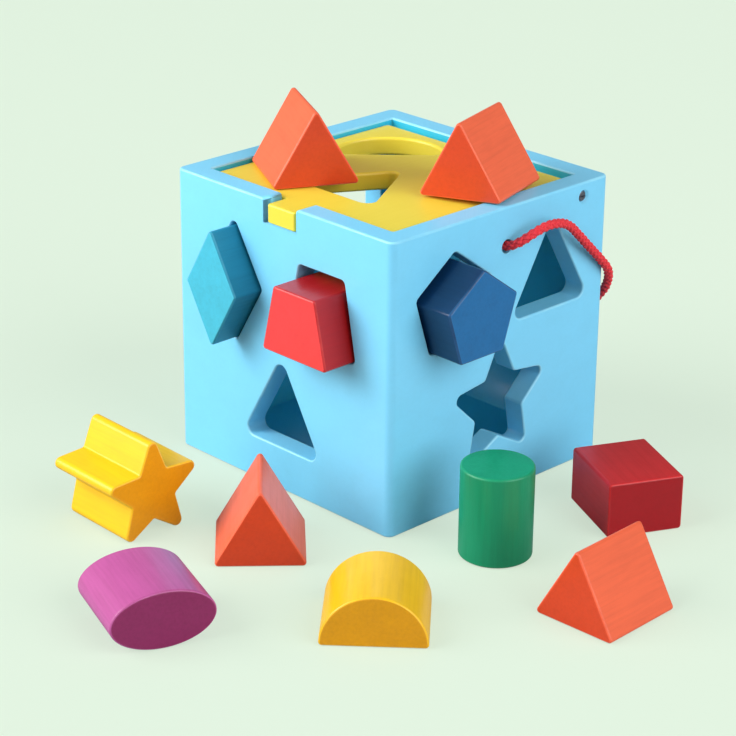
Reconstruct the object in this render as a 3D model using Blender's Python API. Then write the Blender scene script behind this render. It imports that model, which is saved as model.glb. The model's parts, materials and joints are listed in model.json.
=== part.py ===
"""A wooden shape-sorter box with a hinged lid, a rope handle and its set of blocks.

The box stands on the plane z = 0 with its front at -Y and its centre on the Z axis.
Three blocks sit half way in their holes, two lie on the lid and seven lie round the box.
Every size is in metres.
"""

import math

import bmesh
import bpy
from mathutils import Matrix, Vector

# ---- Box ---------------------------------------------------------------------
BOX_WIDTH = 0.150
BOX_DEPTH = 0.148
BOX_HEIGHT = 0.1475
WALL = 0.012
BASE_THICKNESS = 0.009
BOX_CORNER_RADIUS = 0.004
PIECE_GAP = 0.0003

# ---- Lid ---------------------------------------------------------------------
LID_THICKNESS = 0.0095
LID_DROP = 0.0025
LID_GAP = 0.0008
TAB_X = -0.0004
TAB_WIDTH = 0.0194
TAB_RECESS = 0.0008
TAB_CORNER_RADIUS = 0.0015
NOTCH_SIDE_GAP = 0.0019

# ---- Lid hinge screws --------------------------------------------------------
HINGE_INSET = 0.0064
SCREW_SHANK_RADIUS = 0.0017
SCREW_HEAD_RADIUS = 0.0029
SCREW_HEAD_HEIGHT = 0.0022
SCREW_GRIP = 0.010
SCREW_RECESS_DEPTH = 0.0032
SCREW_HEAD_GAP = 0.0006
SCREW_SLOT_WIDTH = 0.0009
SCREW_SLOT_DEPTH = 0.0009

# ---- Blocks: sections, and the length that they all share --------------------
BLOCK_LENGTH = 0.045
BLOCK_EDGE_RADIUS = 0.0011
BLOCK_CORNER_RADIUS = 0.0016
TRIANGLE_SIDE = 0.0445
RHOMBUS_HALF_HEIGHT = 0.0305
RHOMBUS_HALF_WIDTH = 0.0178
TRAPEZOID_TOP = 0.0280
TRAPEZOID_BOTTOM = 0.0435
TRAPEZOID_HEIGHT = 0.0335
PENTAGON_RADIUS = 0.0240
STAR_TIP_RADIUS = 0.0310
STAR_VALLEY_RADIUS = 0.0134
STAR_TIP_ROUNDING = 0.0030
HALF_ROUND_RADIUS = 0.0242
ELLIPSE_HALF_WIDTH = 0.0244
ELLIPSE_HALF_HEIGHT = 0.0138
CYLINDER_RADIUS = 0.0174
RECTANGLE_WIDTH = 0.0382
RECTANGLE_HEIGHT = 0.0278

# ---- How much larger each hole is than its block, on each side ---------------
TRIANGLE_CLEARANCE = 0.0030
RHOMBUS_CLEARANCE = 0.0017
TRAPEZOID_SIDE_CLEARANCE = 0.0014
TRAPEZOID_TOP_CLEARANCE = 0.0062
PENTAGON_CLEARANCE = 0.0024
STAR_CLEARANCE = 0.0036
HALF_ROUND_CLEARANCE = 0.0036
ELLIPSE_CLEARANCE = 0.0030
CYLINDER_CLEARANCE = 0.0024
RECTANGLE_CLEARANCE = 0.0022
HOLE_CORNER_RADIUS = 0.0043
SMALL_HOLE_CORNER_RADIUS = 0.0025

# ---- Where the holes are: along the wall, and below its top or above the table
UPPER_HOLE_SPREAD = 0.033
FRONT_TRIANGLE_BASE = 0.0224
RHOMBUS_CENTRE_DROP = 0.0471
TRAPEZOID_X = 0.0280
TRAPEZOID_BASE_DROP = 0.0663
PENTAGON_CENTRE_DROP = 0.0400
RIGHT_TRIANGLE_Y = 0.0340
RIGHT_TRIANGLE_BASE_DROP = 0.0593
LOWER_HOLE_CENTRE_HEIGHT = 0.0482
LEFT_UPPER_CENTRE_DROP = 0.0425
BACK_TRIANGLE_BASE = 0.0550
LID_TRIANGLE_X = -0.0025
LID_TRIANGLE_FRONT_MARGIN = 0.0227
LID_HALF_ROUND_X = -0.0258
LID_HALF_ROUND_Y = 0.0228
LID_HALF_ROUND_TURN = math.radians(45)

# ---- Seated blocks: how far each stands out of its wall ----------------------
RHOMBUS_OUT = 0.0155
TRAPEZOID_OUT = 0.0175
PENTAGON_OUT = 0.0188

# ---- Prism that leans on the right rim ---------------------------------------
LEANING_PRISM_INSET = 0.0175
LEANING_PRISM_Y = 0.0140
LEANING_PRISM_TURN = math.radians(17.5)

# ---- Rope --------------------------------------------------------------------
ROPE_DIAMETER = 0.005
ROPE_HOLE_RADIUS = 0.0034
ROPE_HOLE_Y = 0.002
ROPE_HOLE_BELOW_LID = 0.0078
KNOT_RADIUS = 0.0062
KNOT_LENGTH = 0.0110
ROPE_STEP = 0.0125
# The rope's right half, from its hole in the wall round to the middle of the back.
ROPE_HALF_ROUTE = (
    (0.0630, 0.0020, 0.1277),
    (0.0700, 0.0020, 0.1277),
    (0.0760, 0.0022, 0.1283),
    (0.0809, 0.0042, 0.1309),
    (0.0840, 0.0090, 0.1343),
    (0.0852, 0.0168, 0.1366),
    (0.0847, 0.0266, 0.1360),
    (0.0832, 0.0362, 0.1322),
    (0.0814, 0.0458, 0.1246),
    (0.0799, 0.0556, 0.1159),
    (0.0787, 0.0650, 0.1076),
    (0.0769, 0.0742, 0.0986),
    (0.0714, 0.0807, 0.0884),
    (0.0630, 0.0844, 0.0782),
    (0.0510, 0.0848, 0.0678),
    (0.0360, 0.0832, 0.0586),
    (0.0180, 0.0822, 0.0530),
    (0.0060, 0.0820, 0.0516),
)

# ---- Fineness ----------------------------------------------------------------
CORNER_STEPS = 4
ROUND_STEPS = 40
SCREW_STEPS = 20
CUTTER_MARGIN = 0.004

# ---- Colours -----------------------------------------------------------------
SKY_BLUE = (0.31, 0.72, 0.93)
PALE_YELLOW = (0.90, 0.80, 0.22)
ORANGE = (0.88, 0.14, 0.04)
TEAL = (0.07, 0.50, 0.62)
RED = (0.80, 0.05, 0.05)
DARK_RED = (0.52, 0.03, 0.04)
NAVY = (0.03, 0.15, 0.34)
GOLD = (0.95, 0.50, 0.03)
PURPLE = (0.50, 0.09, 0.33)
GREEN = (0.02, 0.36, 0.18)
ROPE_RED = (0.75, 0.02, 0.05)
STEEL = (0.55, 0.57, 0.60)

# ---- Sizes that follow from the ones above -----------------------------------
INNER_WIDTH = BOX_WIDTH - 2 * WALL
INNER_DEPTH = BOX_DEPTH - 2 * WALL
LID_TOP = BOX_HEIGHT - LID_DROP
LID_BOTTOM = LID_TOP - LID_THICKNESS
HINGE_Z = LID_TOP - LID_THICKNESS / 2
HINGE_Y = INNER_DEPTH / 2 - HINGE_INSET
ROPE_HOLE_Z = LID_BOTTOM - ROPE_HOLE_BELOW_LID
TRIANGLE_HOLE_SIDE = TRIANGLE_SIDE + 2 * math.sqrt(3) * TRIANGLE_CLEARANCE


def clear_scene():
    for obj in list(bpy.data.objects):
        bpy.data.objects.remove(obj, do_unlink=True)


def paint(name, colour, roughness=0.45, metallic=0.0):
    """A material with one colour, made once and shared by the pieces that have it."""
    found = bpy.data.materials.get(name)
    if found:
        return found
    made = bpy.data.materials.new(name)
    made.use_nodes = True
    shader = made.node_tree.nodes["Principled BSDF"]
    shader.inputs["Base Color"].default_value = (*colour, 1.0)
    shader.inputs["Roughness"].default_value = roughness
    shader.inputs["Metallic"].default_value = metallic
    return made


# ---- Outlines: lists of (x, z) points, anticlockwise --------------------------
def rounded(corners):
    """The outline through (x, z, radius) corners, each rounded by its own radius."""
    outline = []
    for index, (x, z, radius) in enumerate(corners):
        corner = Vector((x, z))
        if not radius:
            outline.append(corner)
            continue
        before = (Vector(corners[index - 1][:2]) - corner).normalized()
        after = (Vector(corners[(index + 1) % len(corners)][:2]) - corner).normalized()
        half_angle = before.angle(after) / 2
        centre = corner + (before + after).normalized() * radius / math.sin(half_angle)
        start = corner + before * radius / math.tan(half_angle) - centre
        end = corner + after * radius / math.tan(half_angle) - centre
        turn = math.atan2(end.y, end.x) - math.atan2(start.y, start.x)
        turn = (turn + math.pi) % math.tau - math.pi
        for step in range(CORNER_STEPS + 1):
            outline.append(centre + Matrix.Rotation(turn * step / CORNER_STEPS, 2) @ start)
    return outline


def triangle(side, radius):
    """Point up, its base centred on the origin."""
    return rounded([(-side / 2, 0, radius), (side / 2, 0, radius), (0, side * math.sqrt(3) / 2, radius)])


def rhombus(half_width, half_height, radius):
    return rounded([(0, -half_height, radius), (half_width, 0, radius), (0, half_height, radius),
                    (-half_width, 0, radius)])


def trapezoid(top, bottom, height, radius):
    """Its wide side down, centred on the origin."""
    return rounded([(-bottom / 2, 0, radius), (bottom / 2, 0, radius), (top / 2, height, radius),
                    (-top / 2, height, radius)])


def rectangle(width, height, radius):
    return rounded([(-width / 2, -height / 2, radius), (width / 2, -height / 2, radius),
                    (width / 2, height / 2, radius), (-width / 2, height / 2, radius)])


def on_circle(radius, degrees):
    return radius * math.cos(math.radians(degrees)), radius * math.sin(math.radians(degrees))


def pentagon(circumradius, radius):
    return rounded([(*on_circle(circumradius, 90 + 72 * corner), radius) for corner in range(5)])


def star(tip_radius, valley_radius, tip_rounding, valley_rounding):
    corners = []
    for point in range(5):
        corners.append((*on_circle(tip_radius, 90 + 72 * point), tip_rounding))
        corners.append((*on_circle(valley_radius, 126 + 72 * point), valley_rounding))
    return rounded(corners)


def ellipse(half_width, half_height):
    turns = (math.tau * step / ROUND_STEPS for step in range(ROUND_STEPS))
    return [Vector((half_width * math.cos(turn), half_height * math.sin(turn))) for turn in turns]


def half_round(circle_radius, radius):
    """Flat side down on the origin, arch up."""
    steps = ROUND_STEPS // 2
    arch = [(*on_circle(circle_radius, 180 * step / steps), 0) for step in range(2, steps - 1)]
    return rounded([(-circle_radius, 0, radius), (circle_radius, 0, radius), *arch])


def lowest(outline):
    return min(point.y for point in outline)


# ---- Solids ------------------------------------------------------------------
def add_object(name, mesh, material, sharp_angle=math.radians(30)):
    """Puts a finished bmesh in the scene under this name."""
    bmesh.ops.recalc_face_normals(mesh, faces=mesh.faces)
    data = bpy.data.meshes.new(name)
    mesh.to_mesh(data)
    mesh.free()
    data.shade_smooth()
    data.set_sharp_from_angle(angle=sharp_angle)
    obj = bpy.data.objects.new(name, data)
    if material:
        data.materials.append(material)
    bpy.context.scene.collection.objects.link(obj)
    return obj


def extruded(name, outline, length, material=None):
    """The outline in the XZ plane, extruded along Y and centred on y = 0."""
    mesh = bmesh.new()
    face = mesh.faces.new([mesh.verts.new((point.x, -length / 2, point.y)) for point in outline])
    grown = bmesh.ops.extrude_face_region(mesh, geom=[face])["geom"]
    moved = [item for item in grown if isinstance(item, bmesh.types.BMVert)]
    bmesh.ops.translate(mesh, verts=moved, vec=(0, length, 0))
    return add_object(name, mesh, material)


def box(name, low, high, material=None):
    """A block between two opposite corners."""
    mesh = bmesh.new()
    size = Vector(high) - Vector(low)
    middle = (Vector(high) + Vector(low)) / 2
    bmesh.ops.create_cube(mesh, size=1.0, matrix=Matrix.Translation(middle) @ Matrix.Diagonal((*size, 1.0)))
    return add_object(name, mesh, material)


def turned(name, profile, material=None, steps=SCREW_STEPS):
    """The (radius, z) profile, which starts and ends on the axis, turned round Z."""
    mesh = bmesh.new()
    points = [mesh.verts.new((radius, 0, height)) for radius, height in profile]
    edges = [mesh.edges.new(pair) for pair in zip(points, points[1:])]
    bmesh.ops.spin(mesh, geom=points + edges, axis=(0, 0, 1), cent=(0, 0, 0), angle=math.tau,
                   steps=steps, use_merge=True)
    bmesh.ops.remove_doubles(mesh, verts=mesh.verts, dist=1e-6)
    return add_object(name, mesh, material)


def place(obj, location, turn=0.0, tip=0.0):
    """Moves a piece: tipped about X first, then turned about Z."""
    obj.matrix_world = (Matrix.Translation(location) @ Matrix.Rotation(turn, 4, "Z")
                        @ Matrix.Rotation(tip, 4, "X"))
    return obj


def combine(body, tool, operation="DIFFERENCE"):
    """Cuts the tool out of the body, or joins it on, and hides the tool."""
    tool.hide_render = True
    tool.display_type = "WIRE"
    modifier = body.modifiers.new(tool.name, "BOOLEAN")
    modifier.operation = operation
    modifier.solver = "EXACT"
    modifier.object = tool


def round_edges(obj, width, segments=2):
    modifier = obj.modifiers.new("Rounded edges", "BEVEL")
    modifier.width = width
    modifier.segments = segments
    modifier.limit_method = "ANGLE"
    modifier.angle_limit = math.radians(40)


# ---- Holes: one outline for each kind, sized from its block -------------------
def triangle_hole():
    return triangle(TRIANGLE_HOLE_SIDE, HOLE_CORNER_RADIUS)


def rhombus_hole():
    return rhombus(RHOMBUS_HALF_WIDTH + RHOMBUS_CLEARANCE, RHOMBUS_HALF_HEIGHT + RHOMBUS_CLEARANCE,
                   SMALL_HOLE_CORNER_RADIUS)


def trapezoid_hole():
    return trapezoid(TRAPEZOID_TOP + 2 * TRAPEZOID_SIDE_CLEARANCE,
                     TRAPEZOID_BOTTOM + 2 * TRAPEZOID_SIDE_CLEARANCE,
                     TRAPEZOID_HEIGHT + TRAPEZOID_TOP_CLEARANCE, SMALL_HOLE_CORNER_RADIUS)


def pentagon_hole():
    return pentagon(PENTAGON_RADIUS + PENTAGON_CLEARANCE, SMALL_HOLE_CORNER_RADIUS)


def star_hole():
    return star(STAR_TIP_RADIUS + STAR_CLEARANCE, STAR_VALLEY_RADIUS + STAR_CLEARANCE,
                STAR_TIP_ROUNDING, SMALL_HOLE_CORNER_RADIUS)


def half_round_hole():
    return half_round(HALF_ROUND_RADIUS + HALF_ROUND_CLEARANCE, HOLE_CORNER_RADIUS)


def ellipse_hole():
    return ellipse(ELLIPSE_HALF_WIDTH + ELLIPSE_CLEARANCE, ELLIPSE_HALF_HEIGHT + ELLIPSE_CLEARANCE)


def circle_hole():
    radius = CYLINDER_RADIUS + CYLINDER_CLEARANCE
    return ellipse(radius, radius)


def rectangle_hole():
    return rectangle(RECTANGLE_WIDTH + 2 * RECTANGLE_CLEARANCE, RECTANGLE_HEIGHT + 2 * RECTANGLE_CLEARANCE,
                     SMALL_HOLE_CORNER_RADIUS)


def cut_through_wall(wall, name, outline, along, height, side):
    """Cuts an outline through the wall on one side: front, back, left or right."""
    cutter = extruded(wall.name + "_" + name + "_cutter", outline, WALL + 2 * CUTTER_MARGIN)
    middles = {
        "front": ((along, -(BOX_DEPTH - WALL) / 2, height), 0.0),
        "back": ((along, (BOX_DEPTH - WALL) / 2, height), 0.0),
        "right": (((BOX_WIDTH - WALL) / 2, along, height), math.pi / 2),
        "left": ((-(BOX_WIDTH - WALL) / 2, along, height), math.pi / 2),
    }
    place(cutter, *middles[side])
    combine(wall, cutter)


def cut_through_lid(lid, name, outline, x, y, turn=0.0):
    cutter = extruded("lid_" + name + "_cutter", outline, LID_THICKNESS + 2 * CUTTER_MARGIN)
    place(cutter, (x, y, HINGE_Z), turn, -math.pi / 2)
    combine(lid, cutter)


def cut_bore(body, name, radius, x, y, z, length):
    """A round hole along X, centred on the point."""
    profile = ((0, -length / 2), (radius, -length / 2), (radius, length / 2), (0, length / 2))
    cutter = turned(body.name + "_" + name + "_cutter", profile)
    cutter.matrix_world = Matrix.Translation((x, y, z)) @ Matrix.Rotation(math.pi / 2, 4, "Y")
    combine(body, cutter)


# ---- Walls and base ----------------------------------------------------------
def side_wall(name, side):
    """A full-depth wall at x < 0 (side -1) or x > 0 (side 1), its outer corners rounded."""
    low_x, high_x = sorted((side * INNER_WIDTH / 2, side * BOX_WIDTH / 2))
    half = BOX_DEPTH / 2
    low_radius, high_radius = (BOX_CORNER_RADIUS, 0) if side < 0 else (0, BOX_CORNER_RADIUS)
    plan = rounded([(low_x, -half, low_radius), (high_x, -half, high_radius), (high_x, half, high_radius),
                    (low_x, half, low_radius)])
    wall = extruded(name, plan, BOX_HEIGHT, paint("sky_blue_paint", SKY_BLUE))
    place(wall, (0, 0, BOX_HEIGHT / 2), 0.0, -math.pi / 2)
    middle = side * (BOX_WIDTH - WALL) / 2
    cut_bore(wall, "rope_hole", ROPE_HOLE_RADIUS, middle, ROPE_HOLE_Y, ROPE_HOLE_Z, WALL + 2 * CUTTER_MARGIN)
    cut_bore(wall, "hinge_bore", SCREW_SHANK_RADIUS + PIECE_GAP, middle, HINGE_Y, HINGE_Z,
             WALL + 2 * CUTTER_MARGIN)
    recess = SCREW_HEAD_RADIUS + SCREW_HEAD_GAP
    cut_bore(wall, "hinge_recess", recess, side * BOX_WIDTH / 2, HINGE_Y, HINGE_Z, 2 * SCREW_RECESS_DEPTH)
    return wall


def cross_wall(name, side):
    """A wall between the two side walls, at the front (side -1) or the back (side 1)."""
    half = INNER_WIDTH / 2 - PIECE_GAP
    low_y, high_y = sorted((side * INNER_DEPTH / 2, side * BOX_DEPTH / 2))
    return box(name, (-half, low_y, 0), (half, high_y, BOX_HEIGHT), paint("sky_blue_paint", SKY_BLUE))


def build_walls():
    front = cross_wall("front_wall", -1)
    cut_through_wall(front, "triangle", triangle_hole(), 0, FRONT_TRIANGLE_BASE, "front")
    cut_through_wall(front, "rhombus", rhombus_hole(), -UPPER_HOLE_SPREAD, BOX_HEIGHT - RHOMBUS_CENTRE_DROP,
                     "front")
    cut_through_wall(front, "trapezoid", trapezoid_hole(), TRAPEZOID_X, BOX_HEIGHT - TRAPEZOID_BASE_DROP, "front")
    notch_half = TAB_WIDTH / 2 + NOTCH_SIDE_GAP
    notch = box("front_wall_notch_cutter",
                (TAB_X - notch_half, -BOX_DEPTH / 2 - CUTTER_MARGIN, LID_BOTTOM - PIECE_GAP),
                (TAB_X + notch_half, -INNER_DEPTH / 2 + CUTTER_MARGIN, BOX_HEIGHT + CUTTER_MARGIN))
    combine(front, notch)

    back = cross_wall("back_wall", 1)
    cut_through_wall(back, "triangle", triangle_hole(), 0, BACK_TRIANGLE_BASE, "back")

    right = side_wall("right_wall", 1)
    cut_through_wall(right, "pentagon", pentagon_hole(), -UPPER_HOLE_SPREAD, BOX_HEIGHT - PENTAGON_CENTRE_DROP,
                     "right")
    cut_through_wall(right, "triangle", triangle_hole(), RIGHT_TRIANGLE_Y, BOX_HEIGHT - RIGHT_TRIANGLE_BASE_DROP,
                     "right")
    cut_through_wall(right, "star", star_hole(), 0, LOWER_HOLE_CENTRE_HEIGHT, "right")

    left = side_wall("left_wall", -1)
    upper = BOX_HEIGHT - LEFT_UPPER_CENTRE_DROP
    cut_through_wall(left, "circle", circle_hole(), -UPPER_HOLE_SPREAD, upper, "left")
    cut_through_wall(left, "rectangle", rectangle_hole(), UPPER_HOLE_SPREAD, upper, "left")
    cut_through_wall(left, "ellipse", ellipse_hole(), 0, LOWER_HOLE_CENTRE_HEIGHT, "left")


def build_base():
    half_x = INNER_WIDTH / 2 - PIECE_GAP
    half_y = INNER_DEPTH / 2 - PIECE_GAP
    box("base_panel", (-half_x, -half_y, 0), (half_x, half_y, BASE_THICKNESS), paint("sky_blue_paint", SKY_BLUE))


# ---- Lid ---------------------------------------------------------------------
def lid_profile():
    """The lid's (y, z) section: square at the front and fully rounded at the hinge."""
    front = -INNER_DEPTH / 2 + LID_GAP
    radius = LID_THICKNESS / 2
    middle = INNER_DEPTH / 2 - LID_GAP - radius
    nose = [Vector((middle + x, z)) for x, z in (on_circle(radius, -90 + 15 * step) for step in range(13))]
    return [Vector((front, radius)), Vector((front, -radius)), *nose]


def build_lid():
    yellow = paint("yellow_paint", PALE_YELLOW)
    width = INNER_WIDTH - 2 * LID_GAP
    lid = extruded("lid", lid_profile(), width, yellow)
    place(lid, (0, 0, HINGE_Z), math.pi / 2)
    front = -INNER_DEPTH / 2 + LID_GAP
    lip = -BOX_DEPTH / 2 + TAB_RECESS
    overlap = WALL / 2
    depth = front + overlap - lip
    half = TAB_WIDTH / 2
    tab_outline = rounded([(-half, 0, 0), (-half, -depth, TAB_CORNER_RADIUS), (half, -depth, TAB_CORNER_RADIUS),
                           (half, 0, 0)])
    tab = extruded("lid_tab", tab_outline, LID_THICKNESS)
    place(tab, (TAB_X, front + overlap, HINGE_Z), 0.0, -math.pi / 2)
    combine(lid, tab, "UNION")
    triangle_y = front + LID_TRIANGLE_FRONT_MARGIN
    cut_through_lid(lid, "triangle", triangle_hole(), LID_TRIANGLE_X, triangle_y)
    cut_through_lid(lid, "half_round", half_round_hole(), LID_HALF_ROUND_X, LID_HALF_ROUND_Y,
                    LID_HALF_ROUND_TURN)
    for side, name in ((-1, "left"), (1, "right")):
        depth = SCREW_GRIP + PIECE_GAP
        cut_bore(lid, "bore_" + name, SCREW_SHANK_RADIUS + PIECE_GAP, side * width / 2, HINGE_Y, HINGE_Z, 2 * depth)


def build_hinge_screws():
    """Each screw's head lies in the wall's recess and its shank ends inside the lid."""
    seat = BOX_WIDTH / 2 - SCREW_RECESS_DEPTH + PIECE_GAP
    tip = INNER_WIDTH / 2 - LID_GAP - SCREW_GRIP
    dome = SCREW_HEAD_RADIUS / 4
    profile = ((0, tip), (SCREW_SHANK_RADIUS, tip), (SCREW_SHANK_RADIUS, seat), (SCREW_HEAD_RADIUS, seat),
               (SCREW_HEAD_RADIUS, seat + SCREW_HEAD_HEIGHT - dome),
               (SCREW_HEAD_RADIUS - dome, seat + SCREW_HEAD_HEIGHT), (0, seat + SCREW_HEAD_HEIGHT))
    for side, name in ((-1, "left"), (1, "right")):
        screw = turned("hinge_screw_" + name, profile, paint("screw_steel", STEEL, 0.35, 1.0))
        screw.matrix_world = Matrix.Translation((0, HINGE_Y, HINGE_Z)) @ Matrix.Rotation(side * math.pi / 2, 4, "Y")
        face = seat + SCREW_HEAD_HEIGHT
        slot = box("hinge_screw_" + name + "_slot_cutter",
                   (-SCREW_SLOT_WIDTH / 2, -2 * SCREW_HEAD_RADIUS, face - SCREW_SLOT_DEPTH),
                   (SCREW_SLOT_WIDTH / 2, 2 * SCREW_HEAD_RADIUS, face + CUTTER_MARGIN))
        slot.matrix_world = screw.matrix_world
        combine(screw, slot)


# ---- Rope --------------------------------------------------------------------
def smooth_curve(points, step):
    """Points about one step apart along the smooth curve through the given points."""
    points = [Vector(point) for point in points]
    ends = [2 * points[0] - points[1], *points, 2 * points[-1] - points[-2]]
    fine = []
    for before, start, end, after in zip(ends, ends[1:], ends[2:], ends[3:]):
        for part in range(10):
            t = part / 10
            fine.append(0.5 * (2 * start + (end - before) * t + (2 * before - 5 * start + 4 * end - after) * t**2
                               + (3 * start - before - 3 * end + after) * t**3))
    fine.append(points[-1])
    lengths = [(b - a).length for a, b in zip(fine, fine[1:])]
    count = max(1, round(sum(lengths) / step))
    spacing = sum(lengths) / count
    even = [fine[0]]
    travelled = 0.0
    for (start, end), length in zip(zip(fine, fine[1:]), lengths):
        while len(even) < count and travelled + length >= spacing * len(even):
            even.append(start.lerp(end, (spacing * len(even) - travelled) / length))
        travelled += length
    return [*even, fine[-1]]


def build_rope():
    mirrored = [(-x, y, z) for x, y, z in reversed(ROPE_HALF_ROUTE)]
    points = smooth_curve([*ROPE_HALF_ROUTE, *mirrored], ROPE_STEP)
    curve = bpy.data.curves.new("carry_rope", "CURVE")
    curve.dimensions = "3D"
    curve.bevel_depth = ROPE_DIAMETER / 2
    curve.bevel_resolution = 3
    curve.use_fill_caps = True
    spline = curve.splines.new("POLY")
    spline.points.add(len(points) - 1)
    for slot, point in zip(spline.points, points):
        slot.co = (*point, 1.0)
    curve.materials.append(paint("rope_red", ROPE_RED, 0.8))
    rope = bpy.data.objects.new("carry_rope", curve)
    bpy.context.scene.collection.objects.link(rope)


def build_knots():
    """A knot inside each side wall keeps the rope from pulling out."""
    half = KNOT_LENGTH / 2
    profile = [(0, -half)]
    for degrees in (-60, -35, -12, 12, 35, 60):
        radius, height = on_circle(1.0, degrees)
        profile.append((KNOT_RADIUS * radius, half * height / math.sin(math.radians(60))))
    profile.append((0, half))
    for side, name in ((-1, "left"), (1, "right")):
        knot = turned("rope_knot_" + name, profile, paint("rope_red", ROPE_RED, 0.8))
        centre = side * (INNER_WIDTH / 2 - PIECE_GAP - half)
        knot.matrix_world = (Matrix.Translation((centre, ROPE_HOLE_Y, ROPE_HOLE_Z))
                             @ Matrix.Rotation(math.pi / 2, 4, "Y"))


# ---- Blocks ------------------------------------------------------------------
def block(name, outline, material, location, turn=0.0, tip=0.0):
    """A block: its section extruded to the shared length, with softened edges."""
    made = extruded(name, outline, BLOCK_LENGTH, material)
    round_edges(made, BLOCK_EDGE_RADIUS)
    return place(made, location, turn, tip)


def build_seated_blocks():
    """Each rests on the lower edge of its hole, partly outside the wall."""
    half = BLOCK_LENGTH / 2
    rhombus_sits = lowest(rhombus_hole()) + PIECE_GAP
    outline = rhombus(RHOMBUS_HALF_WIDTH, RHOMBUS_HALF_HEIGHT, BLOCK_CORNER_RADIUS)
    rhombus_z = BOX_HEIGHT - RHOMBUS_CENTRE_DROP + rhombus_sits - lowest(outline)
    block("rhombus_block", outline, paint("teal_paint", TEAL),
          (-UPPER_HOLE_SPREAD, half - BOX_DEPTH / 2 - RHOMBUS_OUT, rhombus_z))

    outline = trapezoid(TRAPEZOID_TOP, TRAPEZOID_BOTTOM, TRAPEZOID_HEIGHT, BLOCK_CORNER_RADIUS)
    block("trapezoid_block", outline, paint("red_paint", RED),
          (TRAPEZOID_X, half - BOX_DEPTH / 2 - TRAPEZOID_OUT,
           BOX_HEIGHT - TRAPEZOID_BASE_DROP + PIECE_GAP))

    outline = pentagon(PENTAGON_RADIUS, BLOCK_CORNER_RADIUS)
    pentagon_z = BOX_HEIGHT - PENTAGON_CENTRE_DROP + lowest(pentagon_hole()) + PIECE_GAP - lowest(outline)
    block("pentagon_block", outline, paint("navy_paint", NAVY),
          (BOX_WIDTH / 2 + PENTAGON_OUT - half, -UPPER_HOLE_SPREAD, pentagon_z), math.pi / 2)


def build_lid_blocks():
    """Two triangular prisms on the lid: one flat on it, one leaning on the right rim."""
    orange = paint("orange_paint", ORANGE)
    outline = triangle(TRIANGLE_SIDE, BLOCK_CORNER_RADIUS)
    corner_x = -INNER_WIDTH / 2
    corner_y = -INNER_DEPTH / 2
    block("prism_lid_left", outline, orange, (corner_x + 0.0316, corner_y + 0.0328, LID_TOP + PIECE_GAP),
          math.radians(61.8))

    leaning = block("prism_lid_right", outline, orange, (0, 0, 0))
    rim_x = INNER_WIDTH / 2
    centre_x = rim_x - LEANING_PRISM_INSET
    turn = Matrix.Rotation(LEANING_PRISM_TURN, 4, "Z")
    reach = TRIANGLE_SIDE / 2 * math.cos(LEANING_PRISM_TURN) + BLOCK_LENGTH / 2 * math.sin(LEANING_PRISM_TURN)
    lean = math.atan2(LID_DROP, rim_x - centre_x + reach)
    centre_z = LID_TOP + PIECE_GAP + reach * math.tan(lean)
    leaning.matrix_world = (Matrix.Translation((centre_x, LEANING_PRISM_Y, centre_z))
                            @ Matrix.Rotation(-lean, 4, "Y") @ turn)


def build_floor_blocks():
    """The blocks that lie round the box, each placed from the box's nearest corner."""
    right = BOX_WIDTH / 2
    front = -BOX_DEPTH / 2
    orange = paint("orange_paint", ORANGE)
    prism = triangle(TRIANGLE_SIDE, BLOCK_CORNER_RADIUS)
    block("prism_front_left", prism, orange, (right - 0.0371, front - 0.0475, 0), math.radians(48.3))
    block("prism_front_right", prism, orange, (right + 0.1159, front + 0.0207, 0), math.radians(2.1))

    outline = half_round(HALF_ROUND_RADIUS, BLOCK_CORNER_RADIUS)
    block("half_round_block", outline, paint("gold_paint", GOLD), (right + 0.0538, front - 0.0609, 0),
          math.radians(43.0))

    outline = star(STAR_TIP_RADIUS, STAR_VALLEY_RADIUS, STAR_TIP_ROUNDING, BLOCK_CORNER_RADIUS)
    block("star_block", outline, paint("gold_paint", GOLD), (-0.0267, front - 0.0756, -lowest(outline)),
          math.radians(88.1))

    outline = ellipse(ELLIPSE_HALF_WIDTH, ELLIPSE_HALF_HEIGHT)
    block("ellipse_block", outline, paint("purple_paint", PURPLE),
          (right - 0.0127, front - 0.1357, ELLIPSE_HALF_HEIGHT), math.radians(69.9))

    outline = ellipse(CYLINDER_RADIUS, CYLINDER_RADIUS)
    block("cylinder_block", outline, paint("green_paint", GREEN), (right + 0.0430, front + 0.0272, BLOCK_LENGTH / 2),
          0.0, math.pi / 2)

    outline = rectangle(RECTANGLE_WIDTH, RECTANGLE_HEIGHT, BLOCK_CORNER_RADIUS)
    block("rectangle_block", outline, paint("dark_red_paint", DARK_RED),
          (right + 0.0580, 0.0288, RECTANGLE_HEIGHT / 2), math.radians(64.0))


def main():
    clear_scene()
    build_base()
    build_walls()
    build_lid()
    build_hinge_screws()
    build_rope()
    build_knots()
    build_seated_blocks()
    build_lid_blocks()
    build_floor_blocks()


main()
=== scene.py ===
"""The looks of a wooden shape-sorter box, its rope handle and its painted blocks.

Every piece is built in metres in the packed model's own frame, and rides on its bodies.
"""

import json
import math

import bmesh
import bpy
from bpy.props import FloatProperty, FloatVectorProperty, IntProperty, PointerProperty
from mathutils import Matrix, Vector

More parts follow.
